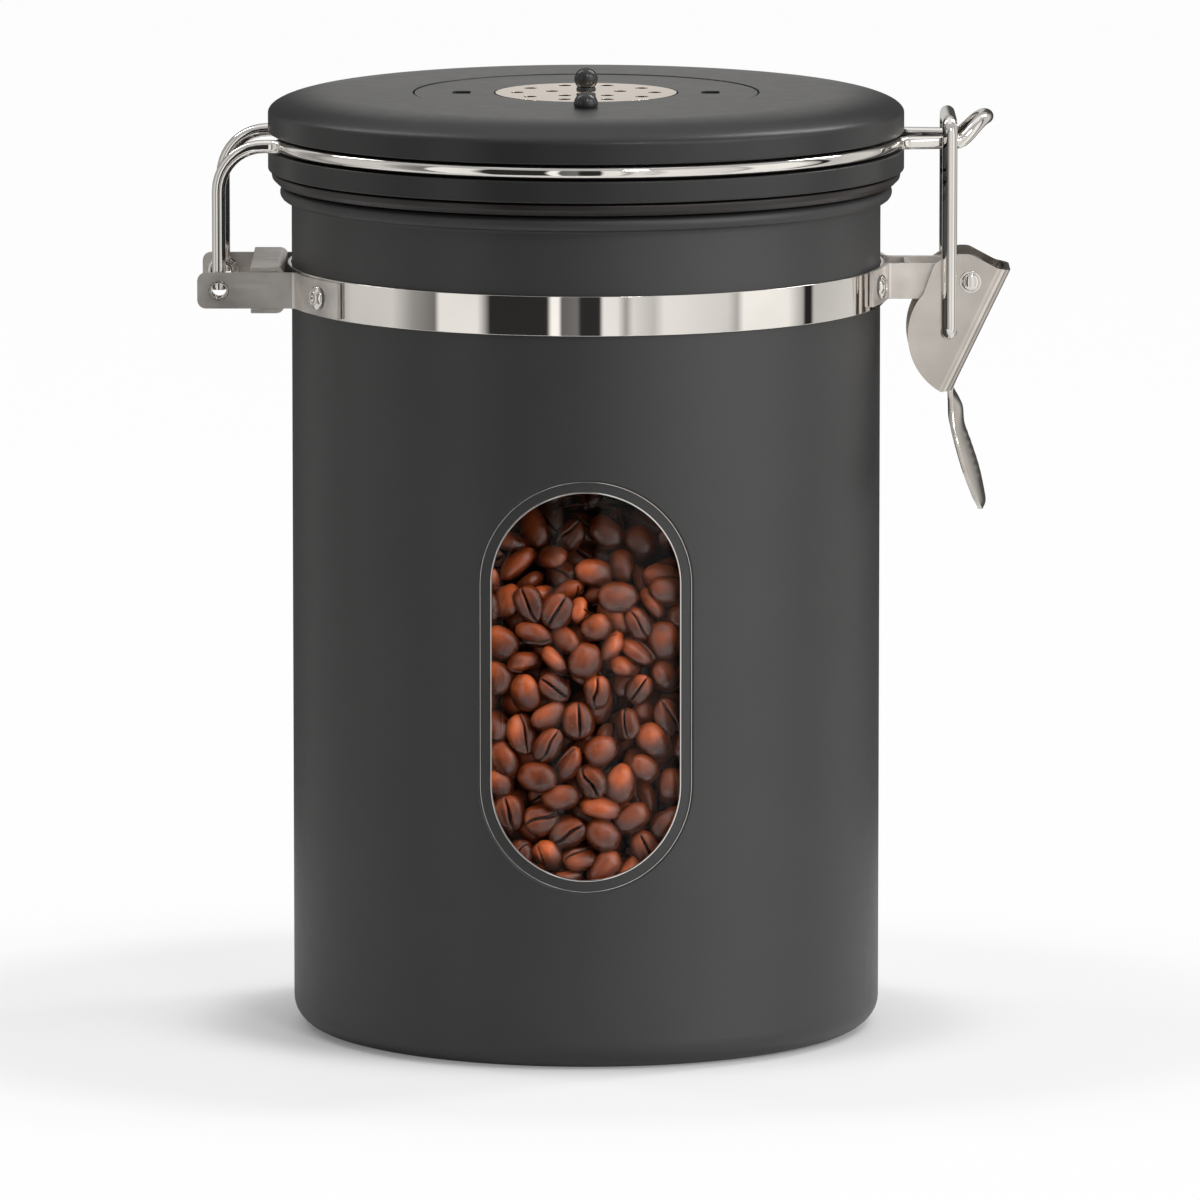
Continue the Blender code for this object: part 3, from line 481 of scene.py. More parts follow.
def arc(centre, radius, start, end, steps, height=None):
    """Points on an arc, as (x, y) pairs. With a height it is an ellipse's arc."""
    angles = [start + (end - start) * step / steps for step in range(steps + 1)]
    return [(centre[0] + radius * math.cos(a), centre[1] + (height or radius) * math.sin(a))
            for a in angles]


def circle(radius, steps, centre=(0, 0)):
    return arc(centre, radius, 0, 2 * math.pi, steps)[:-1]


def rounded_profile(corners, closed=True, steps=4):
    """(radius, height) points from corners given as (radius, height, rounding)."""
    points = [(radius, height, 0) for radius, height, rounding in corners]
    soft = filleted(points, [corner[2] for corner in corners], steps, closed)
    return [(point.x, point.y) for point in soft]


def bridge(work, *loops, columns=None):
    """Faces between loops of as many vertices. A loop of one repeated vertex is a tip."""
    for first, second in zip(loops, loops[1:]):
        for i in columns or range(len(first)):
            j = (i + 1) % len(first)
            corners = list(dict.fromkeys((first[i], first[j], second[j], second[i])))
            if len(corners) > 2:
                work.faces.new(corners)


def turned_rows(work, profile, steps, matrix=Matrix.Identity(4), start=0.0):
    """Rings of vertices about Z from (radius, height) points."""
    rows = []
    for radius, height in profile:
        if radius == 0:
            rows.append([work.verts.new(matrix @ Vector((0, 0, height)))] * steps)
            continue
        angles = [start + 2 * math.pi * step / steps for step in range(steps)]
        rows.append([work.verts.new(matrix @ Vector((radius * math.cos(a), radius * math.sin(a),
                                                     height))) for a in angles])
    return rows


def turned_piece(name, replaced, look, profile, steps, closed=True,
                 matrices=(Matrix.Identity(4),), body=None):
    """A turned piece, once or at several places. An open profile ends on the axis."""
    work = bmesh.new()
    for matrix in matrices:
        rows = turned_rows(work, profile, steps, matrix)
        bridge(work, *rows, *rows[:closed])
    add_piece(name, work, look, replaced, body)


def rounded_edges(work, sharp, width, segments=2):
    """Rounds the edges that turn by more than an angle."""
    edges = [edge for edge in work.edges
             if edge.is_manifold and edge.calc_face_angle(0) > math.radians(sharp)]
    bmesh.ops.bevel(work, geom=edges, offset=width, offset_type="OFFSET", segments=segments,
                    profile=0.5, affect="EDGES", clamp_overlap=True)


def softened(name, look, width=soft_edge, segments=2):
    """A finer copy of a CAD piece: its faces joined and its edges rounded over."""
    work = bmesh.new()
    work.from_mesh(nodes[name].data)
    bmesh.ops.remove_doubles(work, verts=work.verts, dist=fine_weld)
    bmesh.ops.dissolve_limit(work, angle_limit=math.radians(0.5), verts=work.verts,
                             edges=work.edges)
    bmesh.ops.recalc_face_normals(work, faces=work.faces)
    rounded_edges(work, 35, width, segments)
    add_piece(name + "_fine", work, look, [name], sharp=40)


def take_mesh(work, owner, matrix=Matrix.Identity(4)):
    """Adds an object's evaluated mesh to a bmesh."""
    bpy.context.view_layer.update()
    state = bpy.context.evaluated_depsgraph_get()
    mesh = bpy.data.meshes.new_from_object(owner.evaluated_get(state))
    mesh.transform(matrix)
    work.from_mesh(mesh)
    bpy.data.meshes.remove(mesh)


def take_curve(work, curve, matrix=Matrix.Identity(4)):
    """Adds what a curve or text makes to a bmesh."""
    holder = linked("holder", curve)
    take_mesh(work, holder, matrix)
    bpy.data.objects.remove(holder, do_unlink=True)


def polyline(curve, points, cyclic=False):
    spline = curve.splines.new("POLY")
    spline.points.add(len(points) - 1)
    for point, place in zip(spline.points, points):
        point.co = (*Vector(place).to_3d(), 1)
    spline.use_cyclic_u = cyclic


def punched_plate(name, outlines, low, high, soft):
    """A flat plate between two heights, with softened edges. Its first outline is its rim."""
    curve = bpy.data.curves.new(name, "CURVE")
    curve.dimensions = "2D"
    curve.fill_mode = "BOTH"
    curve.extrude = (high - low) / 2 - soft
    curve.bevel_depth = soft
    curve.bevel_resolution = 2
    curve.offset = -soft
    for outline in outlines:
        polyline(curve, outline, True)
    work = bmesh.new()
    take_curve(work, curve, Matrix.Translation((0, 0, (low + high) / 2)))
    bmesh.ops.remove_doubles(work, verts=work.verts, dist=soft / 50)
    return work


# Can


def slot_ring(count, out):
    """Points (x, z) at even steps round the window's edge, each moved straight out from it.
    They start at the middle of the right side and go up."""
    radius = window_width / 2
    straight = window_height - window_width
    length = 2 * straight + 2 * math.pi * radius
    points = []
    for i in range(count):
        run = (length * i / count + straight / 2) % length
        half, run = (1, run) if run < length / 2 else (-1, run - length / 2)
        angle = max(run - straight, 0) / radius
        points.append((half * (radius + out) * math.cos(angle),
                       half * (min(run, straight) - straight / 2
                               + (radius + out) * math.sin(angle))))
    return points


def front_ring(work, points, radius):
    """Vertices at (x, z) points on a cylinder's front."""
    return [work.verts.new((x, -math.sqrt(radius * radius - x * x), window_level + z))
            for x, z in points]


def front_rings(work, count, section):
    """Rings round the window from (distance from its edge, radius) pairs."""
    return [front_ring(work, slot_ring(count, out), radius) for out, radius in section]


def patch_loop(rows):
    """The vertices round the window's patch in a grid's rows, in the order of slot_ring."""
    half, middle = window_columns, window_rows // 2
    right = [row[half] for row in rows[:window_rows]]
    top = [rows[window_rows][c] for c in range(half, -half, -1)]
    left = [rows[k][-half] for k in range(window_rows, 0, -1)]
    bottom = [rows[0][c] for c in range(-half, half)]
    return right[middle:] + top + left + bottom + right[:middle]


def blended_rings(work, inner, outer, radius):
    """Rings between a window ring and the patch's edge, on a cylinder."""
    edge = [(vertex.co.x, vertex.co.z - window_level) for vertex in outer]
    return [front_ring(work, [(x + (edge_x - x) * share, z + (edge_z - z) * share)
                              for (x, z), (edge_x, edge_z) in zip(inner, edge)], radius)
            for share in blend_shares]


def make_body():
    """The can: turned, but for a patch in its front that runs into the window's hole."""
    inner_radius = body_radius - wall
    levels = [window_level + patch_half_height * (2 * k / window_rows - 1)
              for k in range(window_rows + 1)]
    corner = (body_radius - base_corner_radius, base_corner_radius)
    inner = [(0, wall)] + arc(corner, base_corner_radius - wall, -math.pi / 2, 0, 6)
    outer = arc(corner, base_corner_radius, 0, -math.pi / 2, 8) + [(0, 0)]
    bead = (body_radius + rim_bead_reach - rim_bead_radius, body_height - rim_bead_radius)
    neck = rim_bead_radius / 3
    rim = [(inner_radius, body_height - neck),
           *arc((inner_radius + neck, body_height - neck), neck, math.pi, math.pi / 2, 3)[1:],
           *arc(bead, rim_bead_radius, math.pi / 2, -math.pi / 3, 9),
           (body_radius + rim_bead_radius / 5, body_height - 2 * rim_bead_radius),
           (body_radius, body_height - 2.5 * rim_bead_radius)]
    work = bmesh.new()
    rows = turned_rows(work, inner + [(inner_radius, level) for level in levels] + rim
                       + [(body_radius, level) for level in reversed(levels)] + outer,
                       body_columns, start=-math.pi / 2)
    inner_start = len(inner)
    outer_start = inner_start + len(levels) + len(rim)
    beside = range(window_columns, body_columns - window_columns)
    for i, pair in enumerate(zip(rows, rows[1:])):
        in_patch = any(0 <= i - start < window_rows for start in (inner_start, outer_start))
        bridge(work, *pair, columns=beside if in_patch else None)

    inside = patch_loop(rows[inner_start:inner_start + window_rows + 1])
    outside = patch_loop(rows[outer_start + window_rows:outer_start - 1:-1])
    count = len(outside)
    low = body_radius - window_land_depth
    section = [(gap, inner_radius), (gap, low - soft_edge),
               (gap + soft_edge / 3, low - soft_edge / 3), (gap + soft_edge, low),
               (window_land - 2 * soft_edge, low), (window_land - soft_edge, low + soft_edge / 3),
               (window_land + soft_edge, body_radius - soft_edge / 3),
               (window_land + 2 * soft_edge, body_radius)]
    hole, land_edge = slot_ring(count, section[0][0]), slot_ring(count, section[-1][0])
    bridge(work, inside, *reversed(blended_rings(work, hole, inside, inner_radius)),
           *front_rings(work, count, section),
           *blended_rings(work, land_edge, outside, body_radius), outside)
    add_piece("can", work, body_coat, ["body_shell"])


def make_window():
    """The moulded pane: a flange behind the wall, a low border, and a raised face."""
    middle = window_width / 2
    soft = pane_flange_edge
    face = body_radius - window_land_depth
    low = face - pane_step_depth
    rings = [(-middle * share, pane_inner) for share in (1, 0.8, 0.6, 0.4, 0.2, 0)]
    rings += [(pane_flange / 2, pane_inner), (pane_flange - soft, pane_inner),
              (pane_flange, pane_inner + soft), (pane_flange, pane_flange_outer - soft),
              (pane_flange - soft, pane_flange_outer), (soft, pane_flange_outer),
              (0, pane_flange_outer + soft / 2), (0, low - soft), (-soft / 3, low - soft / 3),
              (-soft, low), (-pane_step, face - 2 * soft_edge),
              (-pane_step - soft_edge / 3, face - soft_edge / 3), (-pane_step - soft_edge, face)]
    rings += [(-middle * share, face) for share in (0.25, 0.4, 0.6, 0.8, 1)]
    work = bmesh.new()
    bridge(work, *front_rings(work, 8 * window_columns, rings))
    bmesh.ops.remove_doubles(work, verts=work.verts, dist=weld)
    bmesh.ops.dissolve_degenerate(work, edges=work.edges, dist=fine_weld)
    add_piece("moulded_window", work, clear_plastic, ["window_pane"])


def make_beads():
    """The thin polished beads that show bright round the hole and round the land."""
    land = body_radius - window_land_depth
    work = bmesh.new()
    for inner, outer, low, top in (
            (-fine_gap / 3, gap - fine_gap / 3, land - pane_step_depth + fine_gap / 3, land),
            (window_land - 3 * soft_edge, window_land - 2 * soft_edge, land,
             body_radius - soft_edge)):
        soft = min(outer - inner, top - low) / 3
        loops = front_rings(work, 16 * window_columns, rounded_profile(
            [(outer, low, 0), (outer, top, soft), (inner, top, soft), (inner, low, 0)]))
        bridge(work, *loops, loops[0])
    add_piece("window_beads", work, polished, body="canister", sharp=50)


make_body()
make_window()
make_beads()
softened("window_gasket", black_silicone, segments=1)
softened("window_retainer", band_steel, segments=1)


# Band, ears and fasteners


def radial(angle, level):
    """Stands a piece turned about Z on the can's radius at an angle."""
    direction = Vector((math.cos(angle), math.sin(angle), 0))
    turn = direction.to_track_quat("Z", "Y").to_matrix().to_4x4()
    return Matrix.Translation((0, 0, level)) @ turn


def along_y(place, side=1):
    """Lays a piece turned about Z along Y at a place."""
    return Matrix.Translation(place) @ Matrix.Rotation(-side * math.pi / 2, 4, "X")


def make_band():
    soft = band_edge
    low, high = band_level - band_half_height, band_level + band_half_height
    turned_piece("neck_band", ["clamp_band"], band_steel, rounded_profile(
        [(band_inner, high, 0), (band_outer, high, soft), (band_outer, low, soft),
         (band_inner, low, 0)]), fine_steps)


def make_rivets():
    """Domed heads with a ring pressed round a small centre pit."""
    head = ear_outer + fine_gap
    profile = rounded_profile([
        *((rivet_head_radius * share, head + rivet_head_height - drop, soft)
          for share, drop, soft in rivet_head),
        (rivet_head_radius, head, rivet_edge), (rivet_shank_radius, head, 0),
        (rivet_shank_radius, band_inner, 0), (0, band_inner, 0)], closed=False)
    for group, level, angles in (
            ("hinge", band_level, (math.pi + hinge_rivet_angle, math.pi - hinge_rivet_angle)),
            ("latch", lever_z, (-latch_rivet_angle, latch_rivet_angle))):
        turned_piece(group + "_rivets", [group + "_rivet_front", group + "_rivet_back"],
                     polished, profile, knob_steps, closed=False,
                     matrices=[radial(angle, level) for angle in angles])


def make_bushes():
    outer = ear_inner + ear_thickness
    collar = hinge_half_width - eye_thickness / 2 - gap
    low = collar - bush_flange
    soft = soft_edge
    profile = rounded_profile([
        (bush_bore, outer, soft), (bush_radius, outer, soft), (bush_radius, collar, 0),
        (bush_radius + bush_flange, collar, soft), (bush_radius + bush_flange, low, soft),
        (bush_bore, low, soft)])
    turned_piece("hinge_bushes", ["hinge_bush_front", "hinge_bush_back"], polished,
                 profile, knob_steps,
                 matrices=[along_y((hinge_x, 0, band_level), side) for side in (-1, 1)])


def make_pin():
    """The lever's rivet, with a washer face and a domed head on both sides."""
    seat = lever_half_width + fine_gap
    flange = seat + pin_flange
    soft = soft_edge / 1.5
    dome = arc((0, flange), pin_dome_radius, math.pi / 2, 0, 6, pin_dome_height)
    rim = rounded_profile([(pin_dome_radius, flange, 0), (pin_head_radius, flange, soft),
                           (pin_head_radius, seat, soft), (pin_radius, seat, 0)], closed=False)
    upper = [(0, flange + pin_dome_height)] + dome[1:] + rim[1:]
    lower = [(radius, -height) for radius, height in reversed(upper)]
    turned_piece("lever_rivet", ["lever_pin"], polished, upper + lower,
                 knob_steps, closed=False, matrices=[along_y((lever_x, 0, lever_z))])


make_band()
make_rivets()
make_bushes()
make_pin()
for strip_name in ("hinge_ear_front", "hinge_ear_back", "hinge_channel", "latch_ear_front",
                   "latch_ear_back", "latch_bridge"):
    softened(strip_name, ear_steel)


# Wires


def wire(name, replaced, path, radius):
    """A round wire along a path, with closed ends."""
    curve = bpy.data.curves.new(name, "CURVE")
    curve.dimensions = "3D"
    curve.bevel_depth = radius
    curve.bevel_resolution = wire_sides // 2 - 2
    curve.use_fill_caps = True
    polyline(curve, path)
    work = bmesh.new()
    take_curve(work, curve)
    bmesh.ops.remove_doubles(work, verts=work.verts, dist=radius / 500)
    add_piece(name, work, polished, replaced, sharp=50)


def lid_wire_path():
    """Half of the lid wire, from the hinge's front eye to the nose's tip."""
    ring_radius = lid_radius + lid_wire_proud - lid_wire_radius
    first = math.pi + math.asin(hinge_half_width / ring_radius)
    last = 2 * math.pi - math.asin(nose_root_half_width / ring_radius)
    count = round((last - first) / (2 * math.pi) * wire_ring_steps)
    ring = [(x, y, wire_level) for x, y in arc((0, 0), ring_radius, first, last, count)]
    corners = [(hinge_x, -hinge_half_width, band_level), (hinge_x, -hinge_half_width, wire_level),
               *ring, (foot_x, -nose_half_width, wire_level)]
    radii = [0, lid_leg_bend_radius, lid_ring_bend_radius] + [0] * (count - 1)
    path = filleted(corners, radii + [lid_ring_bend_radius, 0], bend_steps)[:-1]
    centre = (foot_x + nose_reach - nose_half_width, 0)
    rise_start = foot_x + pull_wire_radius
    rise_end = foot_x + nose_reach
    for x, y in arc(centre, nose_half_width, -math.pi / 2, 0, nose_steps):
        share = min(max((x - rise_start) / (rise_end - rise_start), 0), 1)
        path.append(Vector((x, y, wire_level + nose_rise * share * share * (3 - 2 * share))))
    return path


def make_lid_wire():
    half = lid_wire_path()
    other = [Vector((point.x, -point.y, point.z)) for point in reversed(half[:-1])]
    wire("lid_wire_round", ["lid_wire"], half + other, lid_wire_radius)


def make_eyes():
    """The flattened feet of the lid wire, each with its hole round the bush."""
    half = eye_thickness / 2
    soft = eye_thickness / 5
    profile = rounded_profile([(eye_bore, half, soft), (eye_radius, half, soft),
                               (eye_radius, -half, soft), (eye_bore, -half, soft)])
    turned_piece("wire_eyes", (), polished, profile, knob_steps, body="lid",
                 matrices=[along_y((hinge_x, side * hinge_half_width, band_level))
                           for side in (-1, 1)])


def make_pull_wire():
    leg, bend = leg_offset, pull_wire_bend_radius
    path = [(foot_x, -foot_end, foot_z), (foot_x, -leg, foot_z), (foot_x, -leg, bar_z),
            (foot_x, leg, bar_z), (foot_x, leg, foot_z), (foot_x, foot_end, foot_z)]
    radii = [0, pull_wire_foot_bend, bend, bend, pull_wire_foot_bend, 0]
    wire("pull_wire_round", ["pull_wire"], filleted(path, radii, bend_steps), pull_wire_radius)


make_lid_wire()
make_eyes()
make_pull_wire()


# Lever


def cutter(work):
    """A scratch object for a Boolean."""
    bmesh.ops.recalc_face_normals(work, faces=work.faces)
    return linked("cutter", plain_mesh("cutter", work))


def flat_prism(outline, thickness, matrix):
    """A flat outline of even thickness, centred on its own XY plane, then placed."""
    work = bmesh.new()
    loops = [[work.verts.new((point[0], point[1], height)) for point in outline]
             for height in (-thickness / 2, thickness / 2)]
    bridge(work, *loops)
    work.faces.new(loops[0])
    work.faces.new(loops[1])
    bmesh.ops.transform(work, matrix=matrix, verts=work.verts)
    return cutter(work)


def lever_side_outline():
    """The lever's side view, from the pivot: heel, toe, belly, shoulder and crest."""
    start = math.atan2(lever_toe.y - lever_thickness - lever_belly_centre.y,
                       lever_toe.x - lever_fold_radius - lever_belly_centre.x)
    belly = arc(lever_belly_centre, lever_belly_radius, start, lever_belly_end, 30)
    crest = [(lever_shoulder.x + lever_top_run, lever_top - lever_thickness),
             (-lever_top_run, lever_top), (0, lever_top),
             (lever_heel.x - lever_fold_radius, lever_heel.y + lever_thickness / 2)]
    corners = [lever_heel, lever_toe, *belly, lever_shoulder, *crest]
    radii = [0] * (len(belly) + 2) + crest_edges
    return filleted(corners, radii, 6, closed=True)


def tab_value(share, column):
    """A value of the tab's table, read on a smooth curve through its rows."""
    last = len(tab_shares) - 1
    row = 0
    while row < last - 1 and share > tab_shares[row + 1][0]:
        row += 1
    before, low = tab_shares[max(row - 1, 0)], tab_shares[row]
    high, after = tab_shares[row + 1], tab_shares[min(row + 2, last)]
    span = high[0] - low[0]
    mix = (share - low[0]) / span
    rise_in = (high[column] - before[column]) / (high[0] - before[0]) * span
    rise_out = (after[column] - low[column]) / (after[0] - low[0]) * span
    square, cube = mix * mix, mix * mix * mix
    return ((2 * cube - 3 * square + 1) * low[column] + (cube - 2 * square + mix) * rise_in
            + (3 * square - 2 * cube) * high[column] + (cube - square) * rise_out)


def tab_proud(share, across):
    """How far the tab's grip bumps stand out at a place on it."""
    if not (bumps_from < share < bumps_to and abs(across) < bumps_reach):
        return 0
    turn = (share - bumps_from) / (bumps_to - bumps_from) * bumps
    fade = math.sin(math.pi * abs(across) / bumps_reach) ** 2
    return bump_height * fade * math.sin(math.pi * (turn % 1)) ** 2


def tab_sheet():
    """The cupped finger tab, a bowed sheet with two rows of grip bumps pressed out of it."""
    rows, columns = 72, 20
    first = tab_shares[0][0]
    work = bmesh.new()
    rims = []
    for thick in (-lever_thickness / 2, lever_thickness / 2):
        grid = []
        for i in range(rows + 1):
            share = first + (1 - first) * i / rows
            lean, half, crown = (tab_value(share, column) * size for column, size in (
                (1, tab_lean), (2, tab_half_width), (3, tab_crown)))
            row = []
            for across in (2 * j / columns - 1 for j in range(columns + 1)):
                bow = crown * across * across
                row.append(work.verts.new((
                    lever_x + lever_toe.x + lean - bow + tab_proud(share, across) + thick,
                    across * half, lever_z + lever_toe.y - share * tab_length)))
            grid.append(row)
        bridge(work, *grid, columns=range(columns))
        rims.append(grid[0] + [row[-1] for row in grid[1:]] + grid[-1][-2::-1]
                    + [row[0] for row in grid[-2:0:-1]])
    bridge(work, *rims)
    return cutter(work)


def make_lever():
    """A channel folded from sheet, cut to the side outline, with a cupped tab."""
    outer, inner = lever_half_width, lever_half_width - lever_thickness
    depth, bend = lever_half_width * 4, lever_fold_radius - lever_thickness
    section = [(0, -outer), (0, outer), (depth, outer), (depth, inner),
               (lever_thickness, inner), (lever_thickness, -inner), (depth, -inner),
               (depth, -outer)]
    radii = [lever_fold_radius, lever_fold_radius, 0, 0, bend, bend, 0, 0]
    web = lever_toe - lever_heel
    middle = (lever_heel + lever_toe) / 2
    along = Vector((web.x, 0, web.y)).normalized()
    across = Vector((web.y, 0, -web.x)).normalized()
    turn = Matrix((across, along.cross(across), along)).transposed().to_4x4()
    turn.translation = (lever_x + middle.x, 0, lever_z + middle.y)
    channel = flat_prism(filleted(section, radii, 8, closed=True), 2 * web.length, turn)
    side_view = Matrix.Translation((lever_x, 0, lever_z)) @ Matrix.Rotation(math.pi / 2, 4, "X")
    tools = [(flat_prism(lever_side_outline(), 3 * outer, side_view), "INTERSECT"),
             (tab_sheet(), "UNION")]
    for radius, place in ((pin_radius, (lever_x, 0, lever_z)),
                          (pull_wire_radius, (foot_x, 0, foot_z))):
        tools.append((flat_prism(circle(radius + fine_gap, knob_steps), 3 * outer,
                                 along_y(place)), "DIFFERENCE"))
    for tool, operation in tools:
        change = channel.modifiers.new(operation, "BOOLEAN")
        change.operation = operation
        change.solver = "EXACT"
        change.object = tool
    work = bmesh.new()
    take_mesh(work, channel)
    for scratch in [channel] + [tool for tool, operation in tools]:
        bpy.data.objects.remove(scratch, do_unlink=True)
    bmesh.ops.remove_doubles(work, verts=work.verts, dist=weld)
    rounded_edges(work, 45, soft_edge)
    add_piece("latch_lever", work, stamped_steel, ["lever"], sharp=40)


make_lever()


# Lid


def make_lid():
    corner = (lid_radius - shoulder_width, shoulder_low)
    height = lid_top - shoulder_low
    shoulder = arc(corner, shoulder_width, math.pi / 2, 0, 20, height)
    inner = arc(corner, lid_inner - corner[0], 0, math.pi / 2, 10, height - lid_wall)
    well = dial_radius + gap
    seat_hole = valve_seat_radius + gap
    soft = coat_edge
    turned_piece("lid_cap", ["lid_shell"], lid_coat, rounded_profile([
        (well, lid_top, soft / 2), *((r, z, 0) for r, z in shoulder),
        (lid_radius, groove_top, soft), (groove_radius, groove_top, soft / 2),
        (groove_radius, groove_low, soft / 2), (lid_radius, groove_low, soft),
        (lid_radius, lid_low, soft), (lid_inner, lid_low, soft / 2),
        *((r, z, 0) for r, z in inner), (well + lid_wall, lid_top - lid_wall, 0),
        (well + lid_wall, well_floor - lid_wall, soft), (seat_hole, well_floor - lid_wall, 0),
        (seat_hole, well_floor, 0), (well, well_floor, soft / 2)]), fine_steps)


def make_lid_gasket():
    """Rounded under its outer edge, so that it sits in the can's rim."""
    drop = gasket_top - gasket_low
    edge = rounded_profile([
        (gasket_inner, gasket_top, 0), (gasket_outer, gasket_top, drop * 0.2),
        (gasket_outer - drop * 0.1, gasket_low + drop * 0.45, drop * 0.3),
        (gasket_outer - drop * 0.55, gasket_low, drop * 0.3), (gasket_inner, gasket_low, 0)])
    turned_piece("lid_seal", ["lid_gasket"], black_silicone, edge, fine_steps)


def make_dial():
    """The turning dial: a thin plate with two windows and a hole for its knob's stem."""
    length, width = dial_window_length / 2, dial_window_width / 2
    outline = [(length, width), (-length, width), (-length, -width), (length, -width)]
    window = filleted(outline, [width / 3] * 4, 6, closed=True)
    outlines = [circle(dial_radius, fine_steps), circle(vent_radius + gap, fine_steps),
                *([(point.x + x, point.y) for point in window]
                  for x in (-dial_window_radius, dial_window_radius)),
                circle(knob_stem_radius + fine_gap, knob_steps, (0, -day_knob_place))]
    add_piece("dial_plate", punched_plate("dial_plate", outlines, dial_low, dial_top, soft_edge),
              dial_coat, ["day_dial"], sharp=8)


def make_vent():
    """The perforated disc: thin bright sheet on a dark backing, with two rings of holes. The
    backing's near-black, with almost no gloss, is painted shade inside the holes.
    """
    sheet = dial_top - disc_sheet
    for name, low, high, soft, shy, look, slot, replaced in (
            ("perforated_disc", sheet, dial_top, disc_sheet / 4, 0, champagne,
             "champagne_metal", ["vent_disc"]),
            ("disc_backing", vent_low, sheet, soft_edge / 2, soft_edge / 2, hole_shade_black,
             "dark_plastic", [])):
        outlines = [circle(vent_radius - shy, fine_steps),
                    circle(knob_stem_radius + fine_gap, knob_steps)]
        for radius, count, first in ((vent_outer_ring, 10, 0), (vent_inner_ring, 5, math.pi / 2)):
            for centre in arc((0, 0), radius, first, first + 2 * math.pi, count)[:-1]:
                outlines.append(circle(vent_hole_radius - shy, knob_steps, centre))
        add_piece(name, punched_plate(name, outlines, low, high, soft), look, replaced,
                  "vent_dial", 8)


def knob_profile(radius, height, foot, collar=None):
    """A ball knob over its stem, with a collar under it if one is given as (radius, height)."""
    seat = dial_top + fine_gap
    base = seat + (collar[1] if collar else 0)
    centre = seat + height - radius
    low = -math.asin((centre - base) / radius)
    ball = [(0, seat + height)] + arc((0, centre), radius, math.pi / 2, low, 20)[1:]
    if collar:
        soft = collar[1] / 4
        ball += rounded_profile([(ball[-1][0], base, 0), (collar[0], base, soft),
                                 (collar[0], seat, soft), (knob_stem_radius, seat, 0)],
                                closed=False)[1:-1]
    return ball + [(knob_stem_radius, seat), (knob_stem_radius, foot), (0, foot)]


def make_knobs():
    for name, replaced, y, profile in (
            ("dial_knob", "day_knob", -day_knob_place,
             knob_profile(day_knob_radius, day_knob_height, dial_low + fine_gap)),
            ("vent_knob", "centre_knob", 0,
             knob_profile(vent_knob_radius, vent_knob_height, vent_low - fine_gap,
                          (vent_collar_radius, vent_collar_height)))):
        turned_piece(name, [replaced], knob_black, profile, knob_steps,
                     closed=False, matrices=[Matrix.Translation((0, y, 0))])


def make_numbers():
    """The days 1 to 31 in raised numbers round the ring under the dial."""
    work = bmesh.new()
    for day in range(1, 32):
        text = bpy.data.curves.new("day", "FONT")
        text.body = str(day)
        text.size = number_size
        text.extrude = number_height / 2
        text.align_x = text.align_y = "CENTER"
        angle = math.pi / 2 - 2 * math.pi * (day - 1) / 31
        place = (dial_window_radius, 0, number_top + number_height / 2)
        take_curve(work, text, Matrix.Rotation(angle, 4, "Z") @ Matrix.Translation(place)
                   @ Matrix.Rotation(-math.pi / 2, 4, "Z"))
    bmesh.ops.remove_doubles(work, verts=work.verts, dist=weld)
    add_piece("day_numbers", work, ink, body="lid")


make_lid()
make_lid_gasket()
make_dial()
make_vent()
make_knobs()
make_numbers()
softened("number_ring", ring_plastic, segments=1)
softened("lid_liner", liner_plastic)
softened("valve_seat", liner_plastic, soft_edge / 2, 1)
softened("valve_flap", white_silicone, soft_edge / 2, 1)


# Coffee


bean_half_length = 0.0040
bean_half_width = 0.0031
bean_back = 0.0025                # from a bean's middle to its round back
bean_face = 0.0015                # from its middle to its flat face
bean_lip = 0.00020                # how far the lips of its crease stand out
ball_radius = 0.0019              # the balls that stand for a bean while it settles
balls = np.array([(0, 0, 0), (0.0021, 0, 0), (-0.0021, 0, 0), (0, 0.0011, 0),
                  (0, -0.0011, 0)])
settle_rounds = 200
settle_share = 0.35               # how much of an overlap a round clears
settle_fall = 0.00004             # how far a bean falls in a round
room_radius = 0.0582              # inside the can's wall
pane_room_radius = 0.0547         # inside the window's frame
pane_room_half_width = 0.0250
pane_room_low = 0.0310
pane_room_high = 0.1240
core_radius = 0.0420              # the filled core, which the front beans lie against
core_low = 0.0030
core_shy = 0.001                  # how far the core stays under the beans on it
core_side_shy = 0.0012
core_lumps = 0.003
core_steps = 96
notch_angle = math.radians(36)
notch_run = 0.10                  # over this angle the core's side steps out to the can
notch_margin = 0.05
bed_front = 0.1000                # height of the beans at the window
bed_back = 0.1190
bed_thickness = 0.0115
heap_start = -0.054               # along Y, where the beans' surface begins to rise
heap_run = 0.024
layers = 3
front_layer_radius = 0.0526
front_layer_step = 0.0043
front_margin = 0.002              # from the room's low end to the lowest start
bean_spacing = 0.0053             # at least this far between the starts of one front layer
attempts = 4000
bed_spacing = 0.0067
bed_row_share = 0.87              # of the spacing, from row to row
full_turn = 6.28
bed_drop = 0.0075                 # from the surface to the lowest layer
bed_layer_step = 0.0037
bed_margin = 0.003                # between the starts and the can's wall
bed_low_end = 0.010               # along Y, the lowest layer ends here
scatter = 0.001
no_crease = 0.3                   # what the crease reads where there is none
near_half_width = 0.024           # beans in this block are finely made
near_back = -0.038
near_top = 0.118
# The beans' painted shade: darker past lit_depth from the pane over light_depth, and on each
# bean's shaded side down to darkest
lit_depth = 0.003                 # from the pane, and from there the light falls off
light_depth = 0.009
darkest = 0.04


def bed_height(y):
    """The beans' surface: low at the window and heaped behind it."""
    share = np.clip((y - heap_start) / heap_run, 0, 1)
    return bed_front + (bed_back - bed_front) * share * share * (3 - 2 * share)


